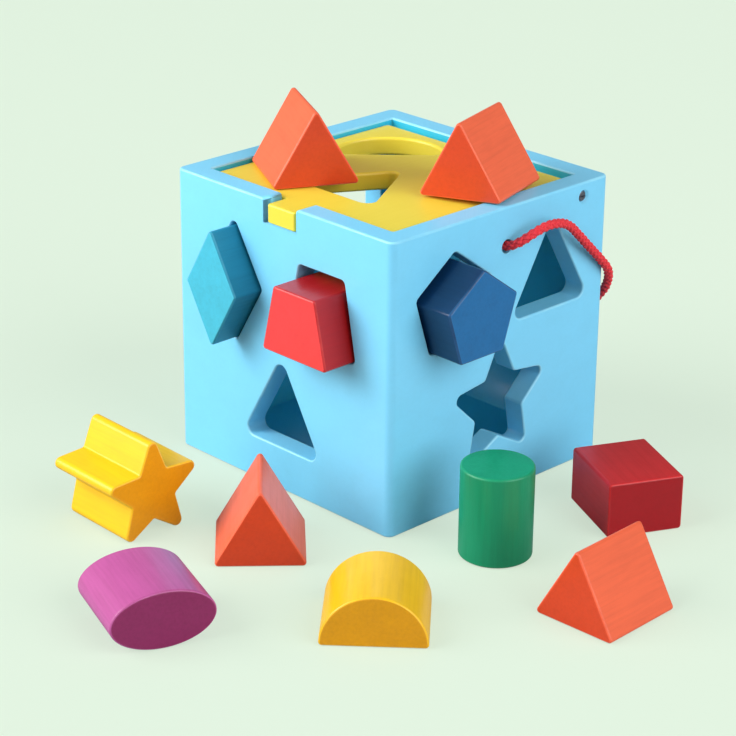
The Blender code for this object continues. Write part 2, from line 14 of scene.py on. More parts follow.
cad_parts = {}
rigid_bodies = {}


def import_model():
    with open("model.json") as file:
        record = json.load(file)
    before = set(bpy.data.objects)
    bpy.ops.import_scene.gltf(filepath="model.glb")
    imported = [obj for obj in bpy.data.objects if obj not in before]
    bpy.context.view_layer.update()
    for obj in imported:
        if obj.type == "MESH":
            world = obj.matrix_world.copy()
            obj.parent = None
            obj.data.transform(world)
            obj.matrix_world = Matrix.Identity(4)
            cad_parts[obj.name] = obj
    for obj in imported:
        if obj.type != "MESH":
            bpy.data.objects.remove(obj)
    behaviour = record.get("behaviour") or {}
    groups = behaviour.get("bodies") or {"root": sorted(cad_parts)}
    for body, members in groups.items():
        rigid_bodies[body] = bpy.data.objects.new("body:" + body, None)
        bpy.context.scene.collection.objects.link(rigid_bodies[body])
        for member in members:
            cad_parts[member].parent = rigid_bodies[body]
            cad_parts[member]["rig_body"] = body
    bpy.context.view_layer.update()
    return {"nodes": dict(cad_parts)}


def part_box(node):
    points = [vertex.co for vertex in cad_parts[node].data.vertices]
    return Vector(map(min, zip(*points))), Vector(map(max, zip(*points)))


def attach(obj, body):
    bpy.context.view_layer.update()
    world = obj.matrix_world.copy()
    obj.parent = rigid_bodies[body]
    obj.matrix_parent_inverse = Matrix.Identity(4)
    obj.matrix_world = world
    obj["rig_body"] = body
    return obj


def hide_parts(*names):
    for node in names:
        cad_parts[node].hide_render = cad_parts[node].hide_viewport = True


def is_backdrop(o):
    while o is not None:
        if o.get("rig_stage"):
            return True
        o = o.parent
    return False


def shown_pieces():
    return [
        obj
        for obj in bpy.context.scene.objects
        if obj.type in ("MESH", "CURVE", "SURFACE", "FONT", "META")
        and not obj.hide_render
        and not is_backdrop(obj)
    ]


bl_info = {
    "name": "Shape sorter",
    "version": (1, 0, 0),
    "blender": (4, 5, 0),
    "location": "3D View > Sidebar > Shape sorter",
    "description": "Builds a painted wooden shape-sorter box with its rope handle and blocks",
    "category": "Add Mesh",
}

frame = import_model()

CORNER_STEPS = 7
ROUND_STEPS = 96
CUT_MARGIN = 0.004
EDGE_STEPS = 5
FACE_OVERLAP = 0.00002
NOTCH_FLOOR_GAP = 0.0003
INSIDE_REACH = 0.0001

# The rope's right half, from its hole in the wall round to the middle of the back.
ROPE_HALF_ROUTE = (
    (0.0630, 0.0020, 0.1277),
    (0.0700, 0.0020, 0.1277),
    (0.0760, 0.0022, 0.1283),
    (0.0809, 0.0042, 0.1309),
    (0.0840, 0.0090, 0.1343),
    (0.0852, 0.0168, 0.1366),
    (0.0847, 0.0266, 0.1360),
    (0.0832, 0.0362, 0.1322),
    (0.0814, 0.0458, 0.1246),
    (0.0799, 0.0556, 0.1159),
    (0.0787, 0.0650, 0.1076),
    (0.0769, 0.0742, 0.0986),
    (0.0714, 0.0807, 0.0884),
    (0.0630, 0.0844, 0.0782),
    (0.0510, 0.0848, 0.0678),
    (0.0360, 0.0832, 0.0586),
    (0.0180, 0.0822, 0.0530),
    (0.0060, 0.0820, 0.0516),
)


# ---- Settings ----------------------------------------------------------------
def size(name, description, default):
    return FloatProperty(name=name, description=description, default=default, min=0.0, unit="LENGTH",
                         precision=5)


def place(name, description, default):
    return FloatProperty(name=name, description=description, default=default, unit="LENGTH", precision=5)


def tint(name, default):
    return FloatVectorProperty(name=name, description="Colour of the " + name.lower(), default=default,
                               subtype="COLOR", size=3, min=0.0, max=1.0)


class SorterHoles(bpy.types.PropertyGroup):
    """Where the holes are, and how much larger each is than its block."""

    softness: size("Edge softness", "Rounding along the rim and round each hole", 0.0010)
    outer_corner: size("Corner radius", "Rounding of the box's four upright corners", 0.0040)
    base: size("Base thickness", "Thickness of the box's base", 0.0090)
    spread: size("Upper spread", "Distance of the upper holes from the middle of their wall", 0.0330)
    front_triangle_base: size("Front triangle", "Height of the front triangle's lower edge", 0.0224)
    back_triangle_base: size("Back triangle", "Height of the back triangle's lower edge", 0.0550)
    rhombus_drop: size("Rhombus drop", "Depth of the rhombus hole's centre below the rim", 0.0471)
    trapezoid_x: place("Trapezoid place", "Distance of the trapezoid hole to the right of the middle", 0.0280)
    trapezoid_drop: size("Trapezoid drop", "Depth of the trapezoid hole's lower edge below the rim", 0.0663)
    pentagon_drop: size("Pentagon drop", "Depth of the pentagon hole's centre below the rim", 0.0400)
    side_triangle_y: place("Side triangle place", "Distance of the side triangle behind the middle", 0.0340)
    side_triangle_drop: size("Side triangle drop", "Depth of the side triangle's lower edge", 0.0593)
    left_upper_drop: size("Left drop", "Depth of the left wall's upper holes below the rim", 0.0425)
    lower_height: size("Lower row", "Height of the star's and the ellipse's centres", 0.0482)
    rope_y: place("Rope hole place", "Distance of the rope holes behind the middle", 0.0020)
    rope_drop: size("Rope hole drop", "Depth of the rope holes below the rim", 0.0198)
    rope_radius: size("Rope hole radius", "Radius of the rope holes", 0.0034)
    notch_gap: size("Notch gap", "Gap beside the lid's tab", 0.0019)
    notch_shoulder: size("Notch shoulder", "Rounding where the notch meets the rim", 0.0018)
    hinge_recess: size("Screw recess", "Radius of the recess round each hinge screw", 0.0035)
    recess_depth: size("Recess depth", "Depth of the recess round each hinge screw", 0.0032)
    screw_bore: size("Screw bore", "Radius of the bore for each hinge screw's shank", 0.0020)
    bore_play: size("Bore play", "Room past each hinge screw's tip", 0.0003)
    triangle_play: size("Triangle play", "How much the hole is larger on each side", 0.0030)
    rhombus_play: size("Rhombus play", "How much the hole is larger on each side", 0.0017)
    trapezoid_play: size("Trapezoid play", "How much the hole is larger on each side", 0.0014)
    trapezoid_headroom: size("Trapezoid headroom", "How much the hole is taller", 0.0062)
    pentagon_play: size("Pentagon play", "How much the hole is larger on each side", 0.0024)
    star_play: size("Star play", "How much the hole is larger on each side", 0.0036)
    half_round_play: size("Half-round play", "How much the hole is larger on each side", 0.0036)
    ellipse_play: size("Ellipse play", "How much the hole is larger on each side", 0.0030)
    circle_play: size("Circle play", "How much the hole is larger on each side", 0.0024)
    rectangle_play: size("Rectangle play", "How much the hole is larger on each side", 0.0022)
    wide_corner: size("Wide corner", "Rounding of the triangle holes' corners", 0.0043)
    small_corner: size("Small corner", "Rounding of the other holes' corners", 0.0025)


class SorterLid(bpy.types.PropertyGroup):
    """The lid's own sizes."""

    softness: size("Edge softness", "Rounding along the lid's edges", 0.0010)
    hole_softness: size("Hole softness", "Rounding round the lid's holes", 0.0016)
    tab_width: size("Tab width", "Width of the finger tab", 0.0194)
    tab_corner: size("Tab corner", "Rounding of the tab's corners", 0.0015)
    tab_x: place("Tab place", "Distance of the tab to the right of the middle", -0.0004)
    triangle_x: place("Triangle place", "Distance of the triangle to the right of the middle", -0.0025)
    triangle_margin: size("Triangle margin", "Distance of the triangle from the lid's front edge", 0.0227)
    half_round_x: place("Half-round place", "Distance of the half round to the right of the middle", -0.0258)
    half_round_y: place("Half-round depth", "Distance of the half round behind the middle", 0.0228)


class SorterBlocks(bpy.types.PropertyGroup):
    """The blocks' sections, which share one length."""

    length: size("Length", "Length that all the blocks share", 0.0450)
    softness: size("Edge softness", "Rounding along the blocks' edges", 0.0011)
    corner: size("Corner", "Rounding of the sections' corners", 0.0016)
    triangle: size("Triangle", "Side of the triangle", 0.0445)
    rhombus_width: size("Rhombus width", "Half the rhombus's width", 0.0178)
    rhombus_height: size("Rhombus height", "Half the rhombus's height", 0.0305)
    trapezoid_top: size("Trapezoid top", "Width of the trapezoid's top", 0.0280)
    trapezoid_bottom: size("Trapezoid bottom", "Width of the trapezoid's bottom", 0.0435)
    trapezoid_height: size("Trapezoid height", "Height of the trapezoid", 0.0335)
    pentagon: size("Pentagon", "Distance from the pentagon's centre to its corners", 0.0240)
    star_tip: size("Star tips", "Distance from the star's centre to its sharp tips", 0.0310)
    star_valley: size("Star valleys", "Distance from the star's centre to its valleys", 0.0134)
    star_rounding: size("Star rounding", "Rounding of the star's tips", 0.0030)
    half_round: size("Half round", "Radius of the half round", 0.0242)
    ellipse_width: size("Ellipse width", "Half the ellipse's width", 0.0244)
    ellipse_height: size("Ellipse height", "Half the ellipse's height", 0.0138)
    cylinder: size("Cylinder", "Radius of the cylinder", 0.0174)
    rectangle_width: size("Rectangle width", "Width of the rectangle", 0.0382)
    rectangle_height: size("Rectangle height", "Height of the rectangle", 0.0278)


class SorterRope(bpy.types.PropertyGroup):
    """The braid of the rope handle."""

    diameter: size("Diameter", "Diameter of the rope", 0.0050)
    length: size("Length", "Length of the rope from knot to knot", 0.407)
    strand: size("Strand radius", "Radius of one strand", 0.00098)
    weave: size("Weave depth", "How far a strand rises and dips as it crosses the others", 0.00055)
    pitch: size("Pitch", "Length of rope in which a strand goes once round", 0.0150)
    strands: IntProperty(name="Strands", description="Number of strands in the braid", default=8, min=2)


class SorterColours(bpy.types.PropertyGroup):
    """The paints."""

    sky_blue: tint("Sky-blue paint", (0.215, 0.68, 0.97))
    # Painted shade: a darker, deeper blue for the faces inside the box.
    shaded_inner_blue: tint("Blue paint darkened inside the box as painted shade", (0.035, 0.52, 0.84))
    # Painted highlight: a paler blue for the box's rounded edges.
    edge_highlight_blue: tint("Blue painted highlight on the edges", (0.40, 0.70, 0.76))
    yellow: tint("Yellow paint", (0.86, 0.71, 0.06))
    # Painted light: each block paint below has a copy for the end faces, lighter or darker than the long sides to stand
    # for the light that falls on each; the red and navy side paints are also darkened as painted shade.
    orange: tint("Orange paint", (0.92, 0.15, 0.06))
    orange_face_light: tint("Orange end faces, painted light", (0.68, 0.060, 0.012))
    teal: tint("Teal paint", (0.012, 0.24, 0.38))
    teal_face_light: tint("Teal end faces, painted light", (0.06, 0.50, 0.67))
    red: tint("Red paint", (0.46, 0.008, 0.010))
    red_face_light: tint("Red end faces, painted light", (0.86, 0.055, 0.055))
    dark_red: tint("Dark red paint", (0.66, 0.015, 0.018))
    dark_red_face_light: tint("Dark red end faces, painted light", (0.38, 0.006, 0.010))
    navy: tint("Navy paint", (0.004, 0.042, 0.13))
    navy_face_light: tint("Navy end faces, painted light", (0.010, 0.15, 0.39))
    gold: tint("Gold paint", (0.96, 0.58, 0.006))
    gold_face_light: tint("Gold end faces, painted light", (0.74, 0.33, 0.001))
    purple: tint("Purple paint", (0.52, 0.10, 0.33))
    purple_face_light: tint("Purple end faces, painted light", (0.26, 0.020, 0.105))
    green: tint("Green paint", (0.005, 0.29, 0.13))
    green_face_light: tint("Green end faces, painted light", (0.002, 0.31, 0.14))
    rope: tint("Rope", (0.90, 0.018, 0.035))
    steel: tint("Screw steel", (0.22, 0.23, 0.26))
    floor: tint("Floor", (0.768, 0.905, 0.753))


# ---- Outlines: (x, z) points, anticlockwise -----------------------------------
def rounded(corners, steps=CORNER_STEPS):
    """The outline through (x, z, radius) corners, each rounded by its own radius."""
    outline = []
    for index, (x, z, radius) in enumerate(corners):
        corner = Vector((x, z))
        if not radius:
            outline.append(corner)
            continue
        before = (Vector(corners[index - 1][:2]) - corner).normalized()
        after = (Vector(corners[(index + 1) % len(corners)][:2]) - corner).normalized()
        half_angle = before.angle(after) / 2
        centre = corner + (before + after).normalized() * radius / math.sin(half_angle)
        start = corner + before * radius / math.tan(half_angle) - centre
        end = corner + after * radius / math.tan(half_angle) - centre
        turn = math.atan2(end.y, end.x) - math.atan2(start.y, start.x)
        turn = (turn + math.pi) % math.tau - math.pi
        for step in range(steps + 1):
            outline.append(centre + Matrix.Rotation(turn * step / steps, 2) @ start)
    return outline


def on_circle(radius, degrees):
    return radius * math.cos(math.radians(degrees)), radius * math.sin(math.radians(degrees))


def polygon(points, radius):
    return rounded([(x, z, radius) for x, z in points])


def triangle(side, radius):
    return polygon([(-side / 2, 0), (side / 2, 0), (0, side * math.sqrt(3) / 2)], radius)


def rhombus(half_width, half_height, radius):
    return polygon([(0, -half_height), (half_width, 0), (0, half_height), (-half_width, 0)], radius)


def trapezoid(top, bottom, height, radius):
    return polygon([(-bottom / 2, 0), (bottom / 2, 0), (top / 2, height), (-top / 2, height)], radius)


def rectangle(width, height, radius):
    return polygon([(-width / 2, -height / 2), (width / 2, -height / 2), (width / 2, height / 2),
                    (-width / 2, height / 2)], radius)


def pentagon(circumradius, radius):
    return polygon([on_circle(circumradius, 90 + 72 * corner) for corner in range(5)], radius)


def star(tip_radius, valley_radius, tip_rounding, valley_rounding):
    corners = []
    for point in range(5):
        corners.append((*on_circle(tip_radius, 90 + 72 * point), tip_rounding))
        corners.append((*on_circle(valley_radius, 126 + 72 * point), valley_rounding))
    return rounded(corners)


def ellipse(half_width, half_height):
    turns = (math.tau * step / ROUND_STEPS for step in range(ROUND_STEPS))
    return [Vector((half_width * math.cos(turn), half_height * math.sin(turn))) for turn in turns]


def half_round(circle_radius, radius):
    """Flat side down on the origin, arch up. The arch starts past the rounded corner."""
    steps = ROUND_STEPS // 2
    first = math.ceil(radius / circle_radius * steps / 2) + 1
    arch = [(*on_circle(circle_radius, 180 * step / steps), 0) for step in range(first, steps - first + 1)]
    return rounded([(-circle_radius, 0, radius), (circle_radius, 0, radius), *arch])


# ---- Mesh making -------------------------------------------------------------
def new_object(name, mesh):
    """Puts a finished bmesh in the scene."""
    bmesh.ops.recalc_face_normals(mesh, faces=mesh.faces)
    data = bpy.data.meshes.new(name)
    mesh.to_mesh(data)
    mesh.free()
    for label in ("flat_face", "rounded_face"):
        data.materials.append(bpy.data.materials.get(label) or bpy.data.materials.new(label))
    data.shade_smooth()
    obj = bpy.data.objects.new(name, data)
    bpy.context.scene.collection.objects.link(obj)
    return obj


def grown(outline, distance):
    """The outline with each point moved outwards, square to it."""
    moved = []
    for index, point in enumerate(outline):
        before = (point - outline[index - 1]).normalized()
        after = (outline[(index + 1) % len(outline)] - point).normalized()
        first, second = Vector((before.y, -before.x)), Vector((after.y, -after.x))
        moved.append(point + (first + second) * distance / (1 + first.dot(second)))
    return moved


def lofted(name, outline, rings):
    """The outline in the XZ plane, carried along Y through (y, growth) rings.

    The bands between rings of different growth are the rounded edges.
    """
    mesh = bmesh.new()
    loops = []
    for y, growth in rings:
        loops.append([mesh.verts.new((point.x, y, point.y)) for point in grown(outline, growth)])
    mesh.faces.new(loops[0])
    mesh.faces.new(reversed(loops[-1]))
    for step, (near, far) in enumerate(zip(loops, loops[1:])):
        for index in range(len(outline)):
            face = mesh.faces.new((near[index - 1], near[index], far[index], far[index - 1]))
            face.material_index = int(rings[step][1] != rings[step + 1][1])
    return new_object(name, mesh)


def extruded(name, outline, length):
    return lofted(name, outline, [(-length / 2, 0.0), (length / 2, 0.0)])


def edge_rings(face, inward, softness):
    """(y, growth) rings that round an edge: full growth at the face, none once inside it."""
    rings = []
    for step in range(EDGE_STEPS + 1):
        turn = math.pi / 2 * step / EDGE_STEPS
        rings.append((face + inward * softness * (1 - math.cos(turn)), softness * (1 - math.sin(turn))))
    return rings


def flared(name, outline, thickness, softness):
    """A cutter that opens out at both faces of a board, and so leaves a rounded edge."""
    face = thickness / 2 + FACE_OVERLAP
    near = edge_rings(-face, 1, softness)
    far = edge_rings(face, -1, softness)
    return lofted(name, outline, [(-face - CUT_MARGIN, softness), *near, *reversed(far),
                                  (face + CUT_MARGIN, softness)])


def slab(name, low, high):
    mesh = bmesh.new()
    middle = (Vector(high) + Vector(low)) / 2
    span = Vector(high) - Vector(low)
    bmesh.ops.create_cube(mesh, size=1.0, matrix=Matrix.Translation(middle) @ Matrix.Diagonal((*span, 1.0)))
    return new_object(name, mesh)


def turn_matrix(location, turn=0.0, tip=0.0):
    return Matrix.Translation(location) @ Matrix.Rotation(turn, 4, "Z") @ Matrix.Rotation(tip, 4, "X")


def plain_mesh(obj, name):
    """A new object at the origin that holds this one's finished mesh, with its modifiers applied."""
    bpy.context.view_layer.update()
    evaluated = obj.evaluated_get(bpy.context.evaluated_depsgraph_get())
    data = bpy.data.meshes.new_from_object(evaluated)
    data.transform(obj.matrix_world)
    data.name = name
    bpy.data.objects.remove(obj)
    made = bpy.data.objects.new(name, data)
    bpy.context.scene.collection.objects.link(made)
    return made


def cut_away(body, tools, operation="DIFFERENCE"):
    """Applies one exact Boolean for each tool, and removes the tools."""
    for tool in tools:
        modifier = body.modifiers.new("Cut", "BOOLEAN")
        modifier.operation = operation
        modifier.solver = "EXACT"
        modifier.object = tool
    made = plain_mesh(body, body.name + "_cut")
    for tool in tools:
        bpy.data.objects.remove(tool)
    return made


def bevelled(obj, name, width, segments=4):
    """Rounds every edge of a plain shape."""
    bevel = obj.modifiers.new("Rounded edges", "BEVEL")
    bevel.width = width
    bevel.segments = segments
    bevel.limit_method = "ANGLE"
    bevel.angle_limit = math.radians(40)
    bevel.use_clamp_overlap = False
    bevel.material = 1
    return plain_mesh(obj, name)


def mark_faces(piece, name, chosen):
    """Writes a mask to the mesh: 1 on the faces that are chosen."""
    mask = piece.data.attributes.new(name, "FLOAT", "CORNER")
    for face in piece.data.polygons:
        for corner in face.loop_indices:
            mask.data[corner].value = float(chosen(face))


def evened(obj, name, painted_light_faces=None):
    """Evens the shading, and marks the rounded edges and the faces of another shade for the paint."""
    obj.modifiers.new("Even shading", "WEIGHTED_NORMAL").mode = "FACE_AREA"
    made = plain_mesh(obj, name)
    mark_faces(made, "rounded_edge", lambda face: face.material_index == 1)
    mark_faces(made, "painted_light_mask", painted_light_faces or (lambda face: False))
    for face in made.data.polygons:
        face.material_index = 0
    made.data.materials.clear()
    return made


def finish_piece(piece, material, *nodes):
    """Paints a piece that stands for these CAD nodes, and lets it ride on their body."""
    piece.data.materials.clear()
    piece.data.materials.append(material)
    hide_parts(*nodes)
    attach(piece, frame["nodes"][nodes[0]]["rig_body"])
    return piece


# ---- Shader node groups and materials ----------------------------------------
def node_group(name, inputs, outputs):
    """An empty shader group with named sockets, its input node and its output node."""
    group = bpy.data.node_groups.new(name, "ShaderNodeTree")
    for label, kind, default in inputs:
        socket = group.interface.new_socket(label, in_out="INPUT", socket_type="NodeSocket" + kind)
        if default is not None:
            socket.default_value = default
    for label, kind in outputs:
        group.interface.new_socket(label, in_out="OUTPUT", socket_type="NodeSocket" + kind)
    return group, group.nodes.new("NodeGroupInput"), group.nodes.new("NodeGroupOutput")


def math_node(tree, operation, first, second, clamp=False):
    node = tree.nodes.new("ShaderNodeMath")
    node.operation = operation
    node.use_clamp = clamp
    for socket, value in zip(node.inputs, (first, second)):
        if isinstance(value, (int, float)):
            socket.default_value = value
        else:
            tree.links.new(value, socket)
    return node.outputs[0]


def noise(tree, vector, scale, detail=3.0, roughness=0.5):
    node = tree.nodes.new("ShaderNodeTexNoise")
    node.inputs["Scale"].default_value = scale
    node.inputs["Detail"].default_value = detail
    node.inputs["Roughness"].default_value = roughness
    tree.links.new(vector, node.inputs["Vector"])
    return node.outputs["Fac"]


def stretched(tree, vector, scale):
    node = tree.nodes.new("ShaderNodeVectorMath")
    node.operation = "MULTIPLY"
    node.inputs[1].default_value = scale
    tree.links.new(vector, node.inputs[0])
    return node.outputs[0]


def ramp(tree, value, low, high):
    """0 below low, 1 above high."""
    node = tree.nodes.new("ShaderNodeMapRange")
    node.inputs["From Min"].default_value = low
    node.inputs["From Max"].default_value = high
    tree.links.new(value, node.inputs["Value"])
    return node.outputs["Result"]


def blend_colour(tree, factor, first, second, kind="MIX"):
    node = tree.nodes.new("ShaderNodeMix")
    node.data_type = "RGBA"
    node.blend_type = kind
    node.clamp_result = True
    sockets = [socket for socket in node.inputs if socket.enabled]
    for socket, value in zip(sockets, (factor, first, second)):
        if isinstance(value, (int, float)):
            socket.default_value = value
        elif isinstance(value, tuple):
            socket.default_value = value
        else:
            tree.links.new(value, socket)
    return next(socket for socket in node.outputs if socket.enabled)


def painted_grain_group():
    """Thin paint over straight-grained wood: streaks along Y, soft mottling and paler rounded edges."""
    found = bpy.data.node_groups.get("Painted grain")
    if found:
        return found
    group, given, out = node_group(
        "Painted grain",
        [("Vector", "Vector", None), ("Paint", "Color", None), ("Deep Paint", "Color", None),
         ("Edge Highlight Paint", "Color", None), ("Painted Light Paint", "Color", None), ("Painted Light Mask", "Float", 0.0),
         ("Edge", "Float", 0.0), ("Streaks", "Float", 0.2),
         ("Mottling", "Float", 0.1), ("Edge Highlight Strength", "Float", 0.3), ("Base Roughness", "Float", 0.4)],
        [("Color", "Color"), ("Roughness", "Float"), ("Height", "Float")])
    vector = given.outputs["Vector"]
    fibres = noise(group, stretched(group, vector, (1.0, 0.045, 1.0)), 620.0, 4.0, 0.65)
    bands = noise(group, stretched(group, vector, (1.0, 0.10, 1.0)), 110.0, 2.0, 0.5)
    cloud = noise(group, vector, 70.0, 3.0, 0.55)
    orange_peel = noise(group, vector, 900.0, 2.0, 0.5)
    streak = math_node(group, "MULTIPLY", ramp(group, fibres, 0.42, 0.72), given.outputs["Streaks"])
    band = math_node(group, "MULTIPLY", ramp(group, bands, 0.35, 0.70), given.outputs["Mottling"])
    patch = math_node(group, "MULTIPLY", ramp(group, cloud, 0.40, 0.75), given.outputs["Mottling"])
    shade = math_node(group, "ADD", streak, math_node(group, "ADD", band, patch), clamp=True)
    # Painted light: the marked faces take a second copy of the paint, lighter or darker to stand for the light on them.
    paint = blend_colour(group, given.outputs["Painted Light Mask"], given.outputs["Paint"], given.outputs["Painted Light Paint"])
    deep = blend_colour(group, 1.0, paint, given.outputs["Deep Paint"], "MULTIPLY")
    colour = blend_colour(group, shade, paint, deep)
    # Painted highlight: the rounded edges are lightened, in patches.
    highlit_patches = math_node(group, "MULTIPLY", given.outputs["Edge"], ramp(group, cloud, 0.25, 0.62))
    highlight_amount = math_node(group, "MULTIPLY", highlit_patches, given.outputs["Edge Highlight Strength"])
    colour = blend_colour(group, highlight_amount, colour, given.outputs["Edge Highlight Paint"])
    rough = math_node(group, "MULTIPLY", cloud, 0.16)
    rough = math_node(group, "ADD", rough, math_node(group, "MULTIPLY", fibres, 0.10))
    rough = math_node(group, "ADD", rough, given.outputs["Base Roughness"])
    rough = math_node(group, "SUBTRACT", rough, 0.13)
    height = math_node(group, "ADD", math_node(group, "MULTIPLY", fibres, 0.6),
                       math_node(group, "MULTIPLY", orange_peel, 0.4))
    group.links.new(colour, out.inputs["Color"])
    group.links.new(rough, out.inputs["Roughness"])
    group.links.new(height, out.inputs["Height"])
    return group


def scaled(colour, factor, lift=0.0):
    """The colour made darker or lighter, and lifted towards white."""
    return tuple(min(1.0, channel * factor + (1.0 - channel * factor) * lift) for channel in colour)


def painted_wood(name, colour, painted_light_colour=None, edge_highlight_colour=None, turn=0.0, tip=0.0, streaks=0.25,
                 mottling=0.12, edge_highlight_strength=0.30, roughness=0.38, coat=0.20):
    """Satin paint on wood whose grain runs along the piece."""
    material = bpy.data.materials.new(name)
    material.use_nodes = True
    tree = material.node_tree
    shader = tree.nodes["Principled BSDF"]
    where = tree.nodes.new("ShaderNodeTexCoord").outputs["Object"]
    mapping = tree.nodes.new("ShaderNodeMapping")
    mapping.vector_type = "TEXTURE"
    mapping.inputs["Rotation"].default_value = (tip, 0.0, turn)
    tree.links.new(where, mapping.inputs["Vector"])
    edge = tree.nodes.new("ShaderNodeAttribute")
    edge.attribute_name = "rounded_edge"
    # Mask of the faces that take the painted-light copy of the paint.
    ends = tree.nodes.new("ShaderNodeAttribute")
    ends.attribute_name = "painted_light_mask"
    grain = tree.nodes.new("ShaderNodeGroup")
    grain.node_tree = painted_grain_group()
    colour = tuple(colour)
    grain.inputs["Paint"].default_value = (*colour, 1.0)
    # Painted light: the copy of the paint for the marked faces, lighter or darker than the paint.
    grain.inputs["Painted Light Paint"].default_value = (*(painted_light_colour or colour), 1.0)
    grain.inputs["Deep Paint"].default_value = (0.66, 0.60, 0.58, 1.0)
    # Painted highlight: a lighter copy of the paint for the rounded edges.
    grain.inputs["Edge Highlight Paint"].default_value = (*scaled(edge_highlight_colour or painted_light_colour or colour, 1.25, 0.04), 1.0)
    grain.inputs["Streaks"].default_value = streaks
    grain.inputs["Mottling"].default_value = mottling
    grain.inputs["Edge Highlight Strength"].default_value = edge_highlight_strength
    grain.inputs["Base Roughness"].default_value = roughness
    tree.links.new(mapping.outputs["Vector"], grain.inputs["Vector"])
    tree.links.new(edge.outputs["Fac"], grain.inputs["Edge"])
    tree.links.new(ends.outputs["Fac"], grain.inputs["Painted Light Mask"])
    tree.links.new(grain.outputs["Color"], shader.inputs["Base Color"])
    tree.links.new(grain.outputs["Roughness"], shader.inputs["Roughness"])
    bump = tree.nodes.new("ShaderNodeBump")
    bump.inputs["Strength"].default_value = 0.22
    bump.inputs["Distance"].default_value = 0.0002
    tree.links.new(grain.outputs["Height"], bump.inputs["Height"])
    tree.links.new(bump.outputs["Normal"], shader.inputs["Normal"])
    shader.inputs["Specular IOR Level"].default_value = 0.28
    shader.inputs["Coat Weight"].default_value = coat
    shader.inputs["Coat Roughness"].default_value = 0.18
    return material


def rope_material(name, colour):
    """Dyed cotton yarn: fine fibres, darker in the hollows between strands."""
    material = bpy.data.materials.new(name)
    material.use_nodes = True
    tree = material.node_tree
    shader = tree.nodes["Principled BSDF"]
    where = tree.nodes.new("ShaderNodeTexCoord").outputs["Object"]
    fibres = noise(tree, where, 2600.0, 3.0, 0.7)
    patches = noise(tree, where, 240.0, 2.0, 0.5)
    colour = tuple(colour)
    mixed = blend_colour(tree, ramp(tree, fibres, 0.25, 0.65), (*scaled(colour, 0.62), 1.0),
                         (*scaled(colour, 1.10, 0.03), 1.0))
    mixed = blend_colour(tree, math_node(tree, "MULTIPLY", ramp(tree, patches, 0.45, 0.80), 0.35), mixed,
                         (*scaled(colour, 0.60), 1.0))
    tree.links.new(mixed, shader.inputs["Base Color"])
    tree.links.new(math_node(tree, "ADD", math_node(tree, "MULTIPLY", fibres, 0.2), 0.62),
                   shader.inputs["Roughness"])
    bump = tree.nodes.new("ShaderNodeBump")
    bump.inputs["Strength"].default_value = 0.5
    bump.inputs["Distance"].default_value = 0.0002
    tree.links.new(fibres, bump.inputs["Height"])
    tree.links.new(bump.outputs["Normal"], shader.inputs["Normal"])
    shader.inputs["Sheen Weight"].default_value = 0.10
    shader.inputs["Specular IOR Level"].default_value = 0.45
    shader.inputs["Sheen Roughness"].default_value = 0.4
    return material


def steel_material(name, colour):
    """Dull turned steel with fine scratches across it."""
    material = bpy.data.materials.new(name)
    material.use_nodes = True
    tree = material.node_tree
    shader = tree.nodes["Principled BSDF"]
    where = tree.nodes.new("ShaderNodeTexCoord").outputs["Object"]
    scratches = noise(tree, stretched(tree, where, (1.0, 0.1, 1.0)), 3200.0, 3.0, 0.6)
    stains = noise(tree, where, 700.0, 2.0, 0.5)
    colour = tuple(colour)
    mixed = blend_colour(tree, ramp(tree, stains, 0.35, 0.75), (*colour, 1.0), (*scaled(colour, 0.55), 1.0))
    tree.links.new(mixed, shader.inputs["Base Color"])
    tree.links.new(math_node(tree, "ADD", math_node(tree, "MULTIPLY", scratches, 0.3), 0.22),
                   shader.inputs["Roughness"])
    bump = tree.nodes.new("ShaderNodeBump")
    bump.inputs["Strength"].default_value = 0.3
    bump.inputs["Distance"].default_value = 0.0001
    tree.links.new(scratches, bump.inputs["Height"])
    tree.links.new(bump.outputs["Normal"], shader.inputs["Normal"])
    shader.inputs["Metallic"].default_value = 1.0
    return material


# ---- Box ---------------------------------------------------------------------
def box_sizes():
    """(outer low, outer high, inner low, inner high) of the box, from its walls."""
    low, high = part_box("left_wall")[0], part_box("right_wall")[1]
    inner_low = Vector((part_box("left_wall")[1].x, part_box("front_wall")[1].y, low.z))
    inner_high = Vector((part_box("right_wall")[0].x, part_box("back_wall")[0].y, high.z))
    return low, high, inner_low, inner_high


def through_wall(name, outline, side, along, height, softness=0.0010):
    """A cutter through one of the four walls, with rounded edges."""
    low, high, inner_low, inner_high = box_sizes()
    middles = {
        "front": ((along, (low.y + inner_low.y) / 2, height), 0.0),
        "back": ((along, (high.y + inner_high.y) / 2, height), 0.0),
        "right": (((high.x + inner_high.x) / 2, along, height), math.pi / 2),
        "left": (((low.x + inner_low.x) / 2, along, height), math.pi / 2),
    }
    cutter = flared(name, outline, high.x - inner_high.x, softness)
    cutter.matrix_world = turn_matrix(*middles[side])
    return cutter


